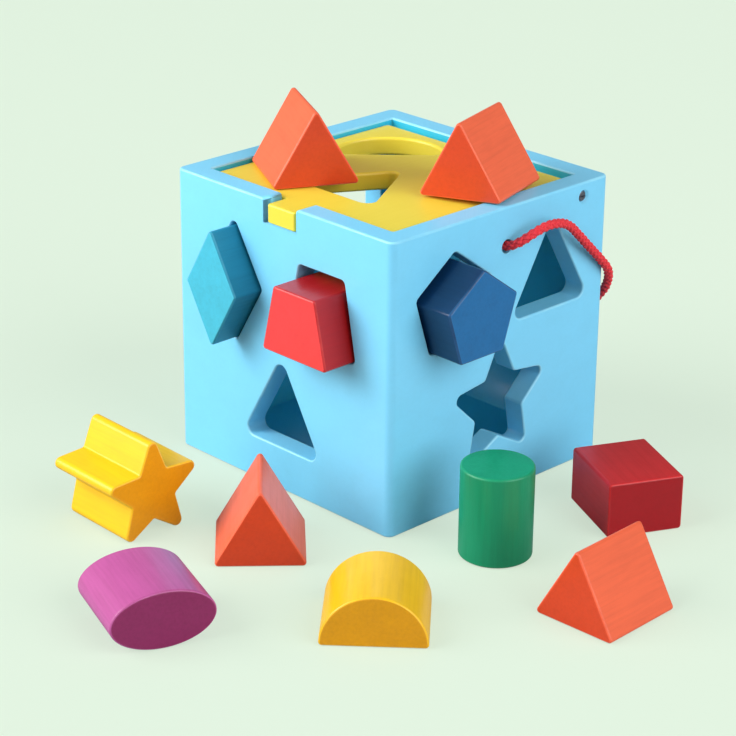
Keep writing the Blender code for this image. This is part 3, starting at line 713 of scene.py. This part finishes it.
def wall_cutters(holes, blocks):
    top = box_sizes()[1].z
    wide, small = holes.wide_corner, holes.small_corner
    side = blocks.triangle + 2 * math.sqrt(3) * holes.triangle_play
    prism_hole = triangle(side, wide)
    upper_left = top - holes.left_upper_drop
    circle = blocks.cylinder + holes.circle_play
    return [
        through_wall("front_triangle", prism_hole, "front", 0, holes.front_triangle_base),
        through_wall("rhombus", rhombus(blocks.rhombus_width + holes.rhombus_play,
                                        blocks.rhombus_height + holes.rhombus_play, small),
                     "front", -holes.spread, top - holes.rhombus_drop),
        through_wall("trapezoid", trapezoid(blocks.trapezoid_top + 2 * holes.trapezoid_play,
                                            blocks.trapezoid_bottom + 2 * holes.trapezoid_play,
                                            blocks.trapezoid_height + holes.trapezoid_headroom, small),
                     "front", holes.trapezoid_x, top - holes.trapezoid_drop),
        through_wall("back_triangle", prism_hole, "back", 0, holes.back_triangle_base),
        through_wall("pentagon", pentagon(blocks.pentagon + holes.pentagon_play, small), "right",
                     -holes.spread, top - holes.pentagon_drop),
        through_wall("side_triangle", prism_hole, "right", holes.side_triangle_y,
                     top - holes.side_triangle_drop),
        through_wall("star", star(blocks.star_tip + holes.star_play, blocks.star_valley + holes.star_play,
                                  blocks.star_rounding, small), "right", 0, holes.lower_height),
        through_wall("circle", ellipse(circle, circle), "left", -holes.spread, upper_left),
        through_wall("rectangle", rectangle(blocks.rectangle_width + 2 * holes.rectangle_play,
                                            blocks.rectangle_height + 2 * holes.rectangle_play, small),
                     "left", holes.spread, upper_left),
        through_wall("ellipse", ellipse(blocks.ellipse_width + holes.ellipse_play,
                                        blocks.ellipse_height + holes.ellipse_play), "left", 0,
                     holes.lower_height),
    ]


def bore_cutters(holes):
    """The rope holes, and the recess and bore for each hinge screw."""
    low, high, inner_low, inner_high = box_sizes()
    screw_low, screw_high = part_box("hinge_screw_right")
    hinge = ((screw_low + screw_high) / 2).yz
    bores = []
    for name, side in (("left", "left"), ("right", "right")):
        round_hole = ellipse(holes.rope_radius, holes.rope_radius)
        bores.append(through_wall("rope_" + name, round_hole, side, holes.rope_y, high.z - holes.rope_drop,
                                  holes.softness / 2))
        recess = extruded("recess_" + name, ellipse(holes.hinge_recess, holes.hinge_recess),
                          2 * holes.recess_depth)
        face = low.x if side == "left" else high.x
        recess.matrix_world = turn_matrix((face, hinge.x, hinge.y), math.pi / 2)
        bores.append(recess)
        inner = inner_low.x if side == "left" else inner_high.x
        bore = extruded("screw_bore_" + name, ellipse(holes.screw_bore, holes.screw_bore),
                        abs(face - inner) + 2 * CUT_MARGIN)
        bore.matrix_world = turn_matrix(((face + inner) / 2, hinge.x, hinge.y), math.pi / 2)
        bores.append(bore)
    return bores


def lid_bores(holes):
    """A blind bore in each side of the lid, for the two hinge screws it turns on."""
    lid_low, lid_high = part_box("lid")
    screw_low, screw_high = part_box("hinge_screw_right")
    hinge = ((screw_low + screw_high) / 2).yz
    depth = lid_high.x - screw_low.x + holes.bore_play
    bores = []
    for name, edge in (("left", lid_low.x), ("right", lid_high.x)):
        bore = extruded("lid_bore_" + name, ellipse(holes.screw_bore, holes.screw_bore), 2 * depth)
        bore.matrix_world = turn_matrix((edge, hinge.x, hinge.y), math.pi / 2)
        bores.append(bore)
    return bores


def within(point, low, high):
    return all(low[axis] < point[axis] < high[axis] for axis in range(3))


def notch_cutter(holes, lid):
    """The notch for the lid's tab, its shoulders rounded where they meet the rim."""
    low, high, inner_low, inner_high = box_sizes()
    half = lid.tab_width / 2 + holes.notch_gap
    wide = half + 2 * holes.notch_shoulder
    top = high.z + FACE_OVERLAP
    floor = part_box("lid")[0].z - NOTCH_FLOOR_GAP
    small = holes.softness / 2
    outline = rounded([(-half, floor, small), (half, floor, small), (half, top, holes.notch_shoulder),
                       (wide, top, 0), (wide, top + CUT_MARGIN, 0), (-wide, top + CUT_MARGIN, 0),
                       (-wide, top, 0), (-half, top, holes.notch_shoulder)])
    cutter = extruded("notch", outline, inner_low.y - low.y + 2 * CUT_MARGIN)
    cutter.matrix_world = turn_matrix((lid.tab_x, (low.y + inner_low.y) / 2, 0))
    return cutter


class SORTER_OT_box(bpy.types.Operator):
    """Builds the painted box with a hole for every block"""

    bl_idname = "sorter.box"
    bl_label = "Painted box"

    def execute(self, context):
        holes, blocks, lid = context.scene.sorter_holes, context.scene.sorter_blocks, context.scene.sorter_lid
        low, high, inner_low, inner_high = box_sizes()
        corner, soft, top = holes.outer_corner, holes.softness, high.z
        plan = rounded([(low.x, low.y, corner), (high.x, low.y, corner), (high.x, high.y, corner),
                        (low.x, high.y, corner)])
        upright = turn_matrix((0, 0, 0), 0.0, -math.pi / 2)
        rim = [(y, growth - soft) for y, growth in edge_rings(-top, 1, soft)]
        foot = [(y, growth - soft) for y, growth in edge_rings(-low.z, -1, soft)]
        rim = [(y, -soft - growth) for y, growth in rim]
        foot = [(y, -soft - growth) for y, growth in foot]
        lid_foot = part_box("lid")[0].z
        box = lofted("box_blank", plan, [*rim, *reversed(foot)])
        box.matrix_world = upright
        cavity_plan = rounded([(inner_low.x, inner_low.y, soft), (inner_high.x, inner_low.y, soft),
                               (inner_high.x, inner_high.y, soft), (inner_low.x, inner_high.y, soft)])
        face = top + FACE_OVERLAP
        cavity = lofted("cavity", cavity_plan, [(-face - CUT_MARGIN, soft), *edge_rings(-face, 1, soft),
                                                (-holes.base, 0.0)])
        cavity.matrix_world = upright
        box = cut_away(box, [cavity, notch_cutter(holes, lid), *wall_cutters(holes, blocks),
                             *bore_cutters(holes)])
        # Painted shade: the faces inside the box, below the lid, are marked to take the darker inner blue.
        reach = Vector((INSIDE_REACH,) * 3)
        corners = (inner_low - reach, Vector((inner_high.x, inner_high.y, high.z)) + reach)
        box = evened(box, "painted_box", lambda face: within(face.center, *corners) and face.center.z < lid_foot)
        colours = context.scene.sorter_colours
        paint = painted_wood("sky_blue_paint", colours.sky_blue, tuple(colours.shaded_inner_blue),
                             tuple(colours.edge_highlight_blue), turn=math.pi / 4, streaks=0.05, mottling=0.05, edge_highlight_strength=0.30, roughness=0.34)
        finish_piece(box, paint, "right_wall", "left_wall", "front_wall", "back_wall", "base_panel")
        return {"FINISHED"}


# ---- Lid ---------------------------------------------------------------------
class SORTER_OT_lid(bpy.types.Operator):
    """Builds the yellow lid with its tab and its two holes"""

    bl_idname = "sorter.lid"
    bl_label = "Lid"

    def execute(self, context):
        holes, blocks, lid = context.scene.sorter_holes, context.scene.sorter_blocks, context.scene.sorter_lid
        low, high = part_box("lid")
        middle_z, radius = (low.z + high.z) / 2, (high.z - low.z) / 2
        overlap = 0.006
        front = box_sizes()[2].y + (high.x - low.x - (box_sizes()[3].x - box_sizes()[2].x)) / -2
        nose = [Vector((high.y - radius + y, z)) for y, z in (on_circle(radius, -90 + 7.5 * step)
                                                              for step in range(25))]
        section = [Vector((front, radius)), Vector((front, -radius)), *nose]
        board = extruded("lid_blank", section, high.x - low.x)
        board.matrix_world = turn_matrix((0, 0, middle_z), math.pi / 2)
        half = lid.tab_width / 2
        depth = front + overlap - low.y
        tab = extruded("tab", rounded([(-half, 0, 0), (-half, -depth, lid.tab_corner),
                                       (half, -depth, lid.tab_corner), (half, 0, 0)]), 2 * radius)
        tab.matrix_world = turn_matrix((lid.tab_x, front + overlap, middle_z), 0.0, -math.pi / 2)
        board = bevelled(cut_away(board, [tab], "UNION"), "lid_board", lid.softness)
        prism_hole = triangle(blocks.triangle + 2 * math.sqrt(3) * holes.triangle_play, holes.wide_corner)
        first = flared("lid_triangle", prism_hole, 2 * radius, lid.hole_softness)
        first.matrix_world = turn_matrix((lid.triangle_x, front + lid.triangle_margin, middle_z), 0.0,
                                         -math.pi / 2)
        arch = half_round(blocks.half_round + holes.half_round_play, holes.wide_corner)
        second = flared("lid_half_round", arch, 2 * radius, lid.hole_softness)
        second.matrix_world = turn_matrix((lid.half_round_x, lid.half_round_y, middle_z), math.pi / 4,
                                          -math.pi / 2)
        board = evened(cut_away(board, [first, second, *lid_bores(holes)]), "sorter_lid")
        paint = painted_wood("yellow_paint", context.scene.sorter_colours.yellow, streaks=0.05, mottling=0.05,
                             edge_highlight_strength=0.20, roughness=0.36)
        finish_piece(board, paint, "lid")
        steel = steel_material("screw_steel", context.scene.sorter_colours.steel)
        for node in ("hinge_screw_left", "hinge_screw_right"):
            frame["nodes"][node].data.materials.clear()
            frame["nodes"][node].data.materials.append(steel)
        return {"FINISHED"}


# ---- Rope --------------------------------------------------------------------
def smooth_curve(points, step):
    """Points about one step apart along the smooth curve through the given points."""
    points = [Vector(point) for point in points]
    ends = [2 * points[0] - points[1], *points, 2 * points[-1] - points[-2]]
    fine = []
    for before, start, end, after in zip(ends, ends[1:], ends[2:], ends[3:]):
        count = max(1, round((end - start).length / step))
        for part in range(count):
            t = part / count
            fine.append(0.5 * (2 * start + (end - before) * t + (2 * before - 5 * start + 4 * end - after) * t**2
                               + (3 * start - before - 3 * end + after) * t**3))
    return [*fine, points[-1]]


def rope_route():
    mirrored = [(-x, y, z) for x, y, z in reversed(ROPE_HALF_ROUTE)]
    return smooth_curve([*ROPE_HALF_ROUTE, *mirrored], 0.002)


def braid_tree():
    """Strands that wind both ways round a line and pass over and under each other."""
    tree = bpy.data.node_groups.new("Braid", "GeometryNodeTree")
    tree.interface.new_socket("Geometry", in_out="INPUT", socket_type="NodeSocketGeometry")
    for label in ("Strand Radius", "Braid Radius", "Weave Depth", "Pitch", "Core Radius"):
        tree.interface.new_socket(label, in_out="INPUT", socket_type="NodeSocketFloat")
    tree.interface.new_socket("Strands", in_out="INPUT", socket_type="NodeSocketInt")
    tree.interface.new_socket("Material", in_out="INPUT", socket_type="NodeSocketMaterial")
    tree.interface.new_socket("Geometry", in_out="OUTPUT", socket_type="NodeSocketGeometry")
    given = tree.nodes.new("NodeGroupInput")
    out = tree.nodes.new("NodeGroupOutput")
    link = tree.links.new

    def add(kind, **settings):
        node = tree.nodes.new(kind)
        for key, value in settings.items():
            setattr(node, key, value)
        return node

    def vector(operation, first, second):
        node = add("ShaderNodeVectorMath", operation=operation)
        link(first, node.inputs[0])
        link(second, node.inputs["Scale"] if operation == "SCALE" else node.inputs[1])
        return node.outputs[0]

    to_curve = add("GeometryNodeMeshToCurve")
    link(given.outputs["Geometry"], to_curve.inputs["Mesh"])
    resampled = add("GeometryNodeResampleCurve", mode="LENGTH")
    resampled.inputs["Length"].default_value = 0.0007
    link(to_curve.outputs["Curve"], resampled.inputs["Curve"])
    copies = add("GeometryNodeDuplicateElements", domain="SPLINE")
    link(resampled.outputs["Curve"], copies.inputs["Geometry"])
    link(given.outputs["Strands"], copies.inputs["Amount"])

    along = add("GeometryNodeSplineParameter").outputs["Length"]
    store = add("GeometryNodeStoreNamedAttribute", domain="CURVE", data_type="INT")
    store.inputs["Name"].default_value = "strand"
    link(copies.outputs["Geometry"], store.inputs["Geometry"])
    link(copies.outputs["Duplicate Index"], store.inputs["Value"])
    read = add("GeometryNodeInputNamedAttribute", data_type="INT")
    read.inputs["Name"].default_value = "strand"
    index = read.outputs["Attribute"]
    way = math_node(tree, "SUBTRACT", 1.0, math_node(tree, "MULTIPLY", math_node(tree, "MODULO", index, 2.0), 2.0))
    number = math_node(tree, "FLOOR", math_node(tree, "DIVIDE", index, 2.0), 0.0)
    turns = math_node(tree, "DIVIDE", along, given.outputs["Pitch"])
    half_count = math_node(tree, "DIVIDE", given.outputs["Strands"], 2.0)
    phase = math_node(tree, "DIVIDE", number, half_count)
    angle = math_node(tree, "MULTIPLY",
                      math_node(tree, "ADD", math_node(tree, "MULTIPLY", way, turns), phase), math.tau)
    swing = math_node(tree, "COSINE", math_node(tree, "MULTIPLY", math_node(tree, "MULTIPLY", turns, half_count),
                                                math.tau), 0.0)
    rise = math_node(tree, "MULTIPLY", math_node(tree, "MULTIPLY", swing, way), given.outputs["Weave Depth"])
    radius = math_node(tree, "ADD", given.outputs["Braid Radius"], rise)

    normal = add("GeometryNodeInputNormal").outputs["Normal"]
    tangent = add("GeometryNodeInputTangent").outputs["Tangent"]
    beside = vector("CROSS_PRODUCT", tangent, normal)
    offset = vector("ADD",
                    vector("SCALE", normal, math_node(tree, "MULTIPLY", radius, math_node(tree, "COSINE", angle, 0.0))),
                    vector("SCALE", beside, math_node(tree, "MULTIPLY", radius, math_node(tree, "SINE", angle, 0.0))))
    moved = add("GeometryNodeSetPosition")
    link(store.outputs["Geometry"], moved.inputs["Geometry"])
    link(offset, moved.inputs["Offset"])

    def tube(curve, radius_socket, resolution):
        ring = add("GeometryNodeCurvePrimitiveCircle")
        ring.inputs["Resolution"].default_value = resolution
        link(radius_socket, ring.inputs["Radius"])
        made = add("GeometryNodeCurveToMesh")
        made.inputs["Fill Caps"].default_value = True
        link(curve, made.inputs["Curve"])
        link(ring.outputs["Curve"], made.inputs["Profile Curve"])
        return made.outputs["Mesh"]

    join = add("GeometryNodeJoinGeometry")
    link(tube(moved.outputs["Geometry"], given.outputs["Strand Radius"], 8), join.inputs[0])
    link(tube(resampled.outputs["Curve"], given.outputs["Core Radius"], 12), join.inputs[0])
    realised = add("GeometryNodeRealizeInstances")
    link(join.outputs[0], realised.inputs[0])
    painted = add("GeometryNodeSetMaterial")
    link(realised.outputs[0], painted.inputs["Geometry"])
    link(given.outputs["Material"], painted.inputs["Material"])
    link(painted.outputs["Geometry"], out.inputs["Geometry"])
    return tree


def braided(name, route, rope, material, tree, tightness=1.0):
    """A braid along the route, as a plain mesh."""
    line = bmesh.new()
    points = [line.verts.new(point) for point in route]
    for pair in zip(points, points[1:]):
        line.edges.new(pair)
    data = bpy.data.meshes.new(name)
    line.to_mesh(data)
    line.free()
    data.materials.append(material)
    obj = bpy.data.objects.new(name, data)
    bpy.context.scene.collection.objects.link(obj)
    modifier = obj.modifiers.new("Braid", "NODES")
    modifier.node_group = tree
    strand = rope.strand * tightness
    weave = rope.weave * tightness
    values = {"Strand Radius": strand, "Braid Radius": rope.diameter / 2 * tightness - strand - weave,
              "Weave Depth": weave, "Pitch": rope.pitch * tightness, "Strands": rope.strands,
              "Core Radius": rope.diameter / 2 * tightness - 1.6 * strand, "Material": material}
    for socket in tree.interface.items_tree:
        if socket.in_out == "INPUT" and socket.name in values:
            modifier[socket.identifier] = values[socket.name]
    made = plain_mesh(obj, name + "_braid")
    made.data.shade_smooth()
    return made


def knot_route(node):
    """A trefoil that just fills the knot's place behind the wall."""
    low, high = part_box(node)
    middle, half = (low + high) / 2, (high - low) / 2
    points = []
    for step in range(97):
        turn = math.tau * step / 96
        across = (math.sin(turn) + 2 * math.sin(2 * turn)) / 3
        up = (math.cos(turn) - 2 * math.cos(2 * turn)) / 3
        points.append(middle + Vector((-math.sin(3 * turn) * (half.x - 0.0030), across * (half.y - 0.0024),
                                       up * (half.z - 0.0024))))
    return points


class SORTER_OT_rope(bpy.types.Operator):
    """Braids the rope handle and ties its two knots"""

    bl_idname = "sorter.rope"
    bl_label = "Rope handle"

    def execute(self, context):
        rope = context.scene.sorter_rope
        material = rope_material("red_rope", context.scene.sorter_colours.rope)
        tree = braid_tree()
        route = rope_route()
        handle = braided("rope_handle", route, rope, material, tree)
        finish_piece(handle, material, "carry_rope")
        for node in ("rope_knot_left", "rope_knot_right"):
            knot = braided(node + "_tied", knot_route(node), rope, material, tree, 0.92)
            finish_piece(knot, material, node)
        return {"FINISHED"}


# ---- Blocks ------------------------------------------------------------------
def block(node, outline, colour, painted_light_colour, turn=0.0, tip=0.0, lean=0.0, **finish):
    """A block with its section across its length, turned and set where its CAD node is."""
    blocks = bpy.context.scene.sorter_blocks
    blank = extruded(node + "_blank", outline, blocks.length)
    blank.matrix_world = Matrix.Rotation(-lean, 4, "Y") @ turn_matrix((0, 0, 0), turn, tip)
    axis = blank.matrix_world.to_3x3() @ Vector((0, 1, 0))
    # Painted light: the end faces are marked to take the lighter or darker copy of the paint.
    made = evened(bevelled(blank, node + "_rounded", blocks.softness), node + "_painted",
                  lambda face: abs(face.normal.dot(axis)) > 0.95)
    corners = [vertex.co for vertex in made.data.vertices]
    low = Vector([min(corner[axis] for corner in corners) for axis in range(3)])
    high = Vector([max(corner[axis] for corner in corners) for axis in range(3)])
    cad_low, cad_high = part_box(node)
    made.data.transform(Matrix.Translation((cad_low + cad_high - low - high) / 2))
    paint = painted_wood(node + "_paint", colour, tuple(painted_light_colour), turn=turn, tip=tip, **finish)
    return finish_piece(made, paint, node)


class SORTER_OT_seated_blocks(bpy.types.Operator):
    """Builds the three blocks that sit in their holes"""

    bl_idname = "sorter.seated_blocks"
    bl_label = "Seated blocks"

    def execute(self, context):
        blocks, colours = context.scene.sorter_blocks, context.scene.sorter_colours
        block("rhombus_block", rhombus(blocks.rhombus_width, blocks.rhombus_height, blocks.corner),
              colours.teal, colours.teal_face_light)
        block("trapezoid_block", trapezoid(blocks.trapezoid_top, blocks.trapezoid_bottom,
                                           blocks.trapezoid_height, blocks.corner), colours.red,
              colours.red_face_light)
        block("pentagon_block", pentagon(blocks.pentagon, blocks.corner), colours.navy, colours.navy_face_light, math.pi / 2)
        return {"FINISHED"}


class SORTER_OT_prisms(bpy.types.Operator):
    """Builds the four triangular prisms, on the lid and round the box"""

    bl_idname = "sorter.prisms"
    bl_label = "Triangular prisms"

    def execute(self, context):
        blocks, colours = context.scene.sorter_blocks, context.scene.sorter_colours
        outline = triangle(blocks.triangle, blocks.corner)
        block("prism_lid_left", outline, colours.orange, colours.orange_face_light, math.radians(61.8))
        block("prism_front_left", outline, colours.orange, colours.orange_face_light, math.radians(48.3))
        block("prism_front_right", outline, colours.orange, colours.orange_face_light, math.radians(2.1))
        turn = math.radians(17.5)
        reach = blocks.triangle / 2 * math.cos(turn) + blocks.length / 2 * math.sin(turn)
        run = box_sizes()[3].x - (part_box("prism_lid_right")[0].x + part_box("prism_lid_right")[1].x) / 2 + reach
        lean = math.atan2(box_sizes()[1].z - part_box("lid")[1].z, run)
        block("prism_lid_right", outline, colours.orange, colours.orange_face_light, turn, lean=lean)
        return {"FINISHED"}


class SORTER_OT_loose_blocks(bpy.types.Operator):
    """Builds the other blocks that lie round the box"""

    bl_idname = "sorter.loose_blocks"
    bl_label = "Loose blocks"

    def execute(self, context):
        blocks, colours = context.scene.sorter_blocks, context.scene.sorter_colours
        block("half_round_block", half_round(blocks.half_round, blocks.corner), colours.gold, colours.gold_face_light,
              math.radians(43.0))
        block("star_block", star(blocks.star_tip, blocks.star_valley, blocks.star_rounding, blocks.corner),
              colours.gold, colours.gold_face_light, math.radians(88.1))
        block("ellipse_block", ellipse(blocks.ellipse_width, blocks.ellipse_height), colours.purple,
              colours.purple_face_light, math.radians(69.9), streaks=0.35)
        block("cylinder_block", ellipse(blocks.cylinder, blocks.cylinder), colours.green, colours.green_face_light, 0.0,
              math.pi / 2)
        block("rectangle_block", rectangle(blocks.rectangle_width, blocks.rectangle_height, blocks.corner),
              colours.dark_red, colours.dark_red_face_light, math.radians(64.0))
        return {"FINISHED"}


# ---- Floor, light and camera -------------------------------------------------
FLOOR_SHADE = 0.34
FLOOR_LIGHT = 0.95


def floor_material(colour):
    """A bright, even floor that throws little of its colour on to the piece above it."""
    material = bpy.data.materials.new("pale_floor")
    material.use_nodes = True
    tree = material.node_tree
    tree.nodes.remove(tree.nodes["Principled BSDF"])
    where = tree.nodes.new("ShaderNodeTexCoord").outputs["Object"]
    cloud = noise(tree, where, 3.0, 2.0, 0.5)
    colour = tuple(colour)
    lit = tree.nodes.new("ShaderNodeBsdfDiffuse")
    tree.links.new(blend_colour(tree, cloud, (*scaled(colour, FLOOR_SHADE * 0.99), 1.0),
                                (*scaled(colour, FLOOR_SHADE * 1.01), 1.0)), lit.inputs["Color"])
    glow = tree.nodes.new("ShaderNodeEmission")
    glow.inputs["Color"].default_value = (*colour, 1.0)
    glow.inputs["Strength"].default_value = 1.0 - FLOOR_SHADE * FLOOR_LIGHT
    seen = tree.nodes.new("ShaderNodeAddShader")
    tree.links.new(lit.outputs[0], seen.inputs[0])
    tree.links.new(glow.outputs[0], seen.inputs[1])
    bounce = tree.nodes.new("ShaderNodeBsdfDiffuse")
    bounce.inputs["Color"].default_value = (0.50, 0.54, 0.54, 1.0)
    chosen = tree.nodes.new("ShaderNodeMixShader")
    tree.links.new(tree.nodes.new("ShaderNodeLightPath").outputs["Is Camera Ray"], chosen.inputs[0])
    tree.links.new(bounce.outputs[0], chosen.inputs[1])
    tree.links.new(seen.outputs[0], chosen.inputs[2])
    tree.links.new(chosen.outputs[0], tree.nodes["Material Output"].inputs["Surface"])
    return material


def add_lamp(name, kind, location, target, strength, width):
    """A lamp aimed at a point: a broad sun, or a square softbox."""
    light = bpy.data.lights.new(name, kind)
    light.energy = strength
    if kind == "AREA":
        light.shape = "SQUARE"
        light.size = width
    else:
        light.angle = width
    lamp = bpy.data.objects.new(name, light)
    lamp.location = location
    lamp.rotation_euler = (Vector(target) - Vector(location)).to_track_quat("-Z", "Y").to_euler()
    bpy.context.scene.collection.objects.link(lamp)
    return lamp


def add_camera():
    azimuth, elevation, roll = math.radians(45.626), math.radians(22.706), 0.010371
    back = Vector((math.sin(azimuth) * math.cos(elevation), -math.cos(azimuth) * math.cos(elevation),
                   math.sin(elevation)))
    right = Vector((0, 0, 1)).cross(back).normalized()
    up = back.cross(right)
    turned_right = math.cos(roll) * right + math.sin(roll) * up
    turned_up = math.cos(roll) * up - math.sin(roll) * right
    camera = bpy.data.cameras.new("camera")
    camera.lens = 119.196
    camera.sensor_width = 36.0
    camera.clip_start = 0.05
    camera.clip_end = 50.0
    holder = bpy.data.objects.new("camera", camera)
    turn = Matrix((turned_right, turned_up, back)).transposed().to_4x4()
    holder.matrix_world = Matrix.Translation((0.80102, -0.79906, 0.51664)) @ turn
    bpy.context.scene.collection.objects.link(holder)
    bpy.context.scene.camera = holder


class SORTER_OT_stage(bpy.types.Operator):
    """Lays the pale floor and sets the soft light and the camera"""

    bl_idname = "sorter.stage"
    bl_label = "Floor, light and camera"

    def execute(self, context):
        floor = slab("floor", (-9.0, -9.0, -0.0203), (9.0, 9.0, -0.0003))
        floor.data.materials.clear()
        floor.data.materials.append(floor_material(context.scene.sorter_colours.floor))
        floor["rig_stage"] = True
        world = bpy.data.worlds.new("soft_sky")
        world.use_nodes = True
        world.node_tree.nodes["Background"].inputs["Color"].default_value = (0.96, 0.98, 1.0, 1.0)
        world.node_tree.nodes["Background"].inputs["Strength"].default_value = 0.25
        context.scene.world = world
        context.scene.view_settings.view_transform = "Standard"
        add_lamp("key_light", "SUN", (-0.62, -1.0, 0.66), (0, 0, 0), 2.5, math.radians(55))
        add_lamp("side_light", "SUN", (1.0, 0.15, 0.5), (0, 0, 0), 2.3, math.radians(55))
        near = add_lamp("near_light", "AREA", (-0.34, -0.52, 0.40), (-0.04, -0.07, 0.12), 2.2, 0.30)
        above_floor = bpy.data.collections.new("above_floor")
        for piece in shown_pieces():
            above_floor.objects.link(piece)
        near.light_linking.receiver_collection = above_floor
        add_camera()
        return {"FINISHED"}


# ---- Panel and registration --------------------------------------------------
BUILD_STEPS = (SORTER_OT_rope, SORTER_OT_box, SORTER_OT_lid, SORTER_OT_seated_blocks, SORTER_OT_prisms,
               SORTER_OT_loose_blocks, SORTER_OT_stage)
SETTINGS = {"sorter_holes": SorterHoles, "sorter_lid": SorterLid, "sorter_blocks": SorterBlocks,
            "sorter_rope": SorterRope, "sorter_colours": SorterColours}


class SORTER_PT_panel(bpy.types.Panel):
    """Lists the steps that build the shape sorter, and its sizes and colours"""

    bl_label = "Shape sorter"
    bl_idname = "SORTER_PT_panel"
    bl_space_type = "VIEW_3D"
    bl_region_type = "UI"
    bl_category = "Shape sorter"

    def draw(self, context):
        for step in BUILD_STEPS:
            self.layout.operator(step.bl_idname)
        for name, kind in SETTINGS.items():
            column = self.layout.column(heading=kind.__doc__)
            for label in kind.__annotations__:
                column.prop(getattr(context.scene, name), label)


def register():
    for kind in (*SETTINGS.values(), *BUILD_STEPS, SORTER_PT_panel):
        bpy.utils.register_class(kind)
    for name, kind in SETTINGS.items():
        setattr(bpy.types.Scene, name, PointerProperty(type=kind))


def unregister():
    for name in SETTINGS:
        delattr(bpy.types.Scene, name)
    for kind in (SORTER_PT_panel, *reversed(BUILD_STEPS), *reversed(list(SETTINGS.values()))):
        bpy.utils.unregister_class(kind)


def main():
    register()
    bpy.ops.sorter.rope()
    bpy.ops.sorter.box()
    bpy.ops.sorter.lid()
    bpy.ops.sorter.seated_blocks()
    bpy.ops.sorter.prisms()
    bpy.ops.sorter.loose_blocks()
    bpy.ops.sorter.stage()


if __name__ == "__main__":
    main()
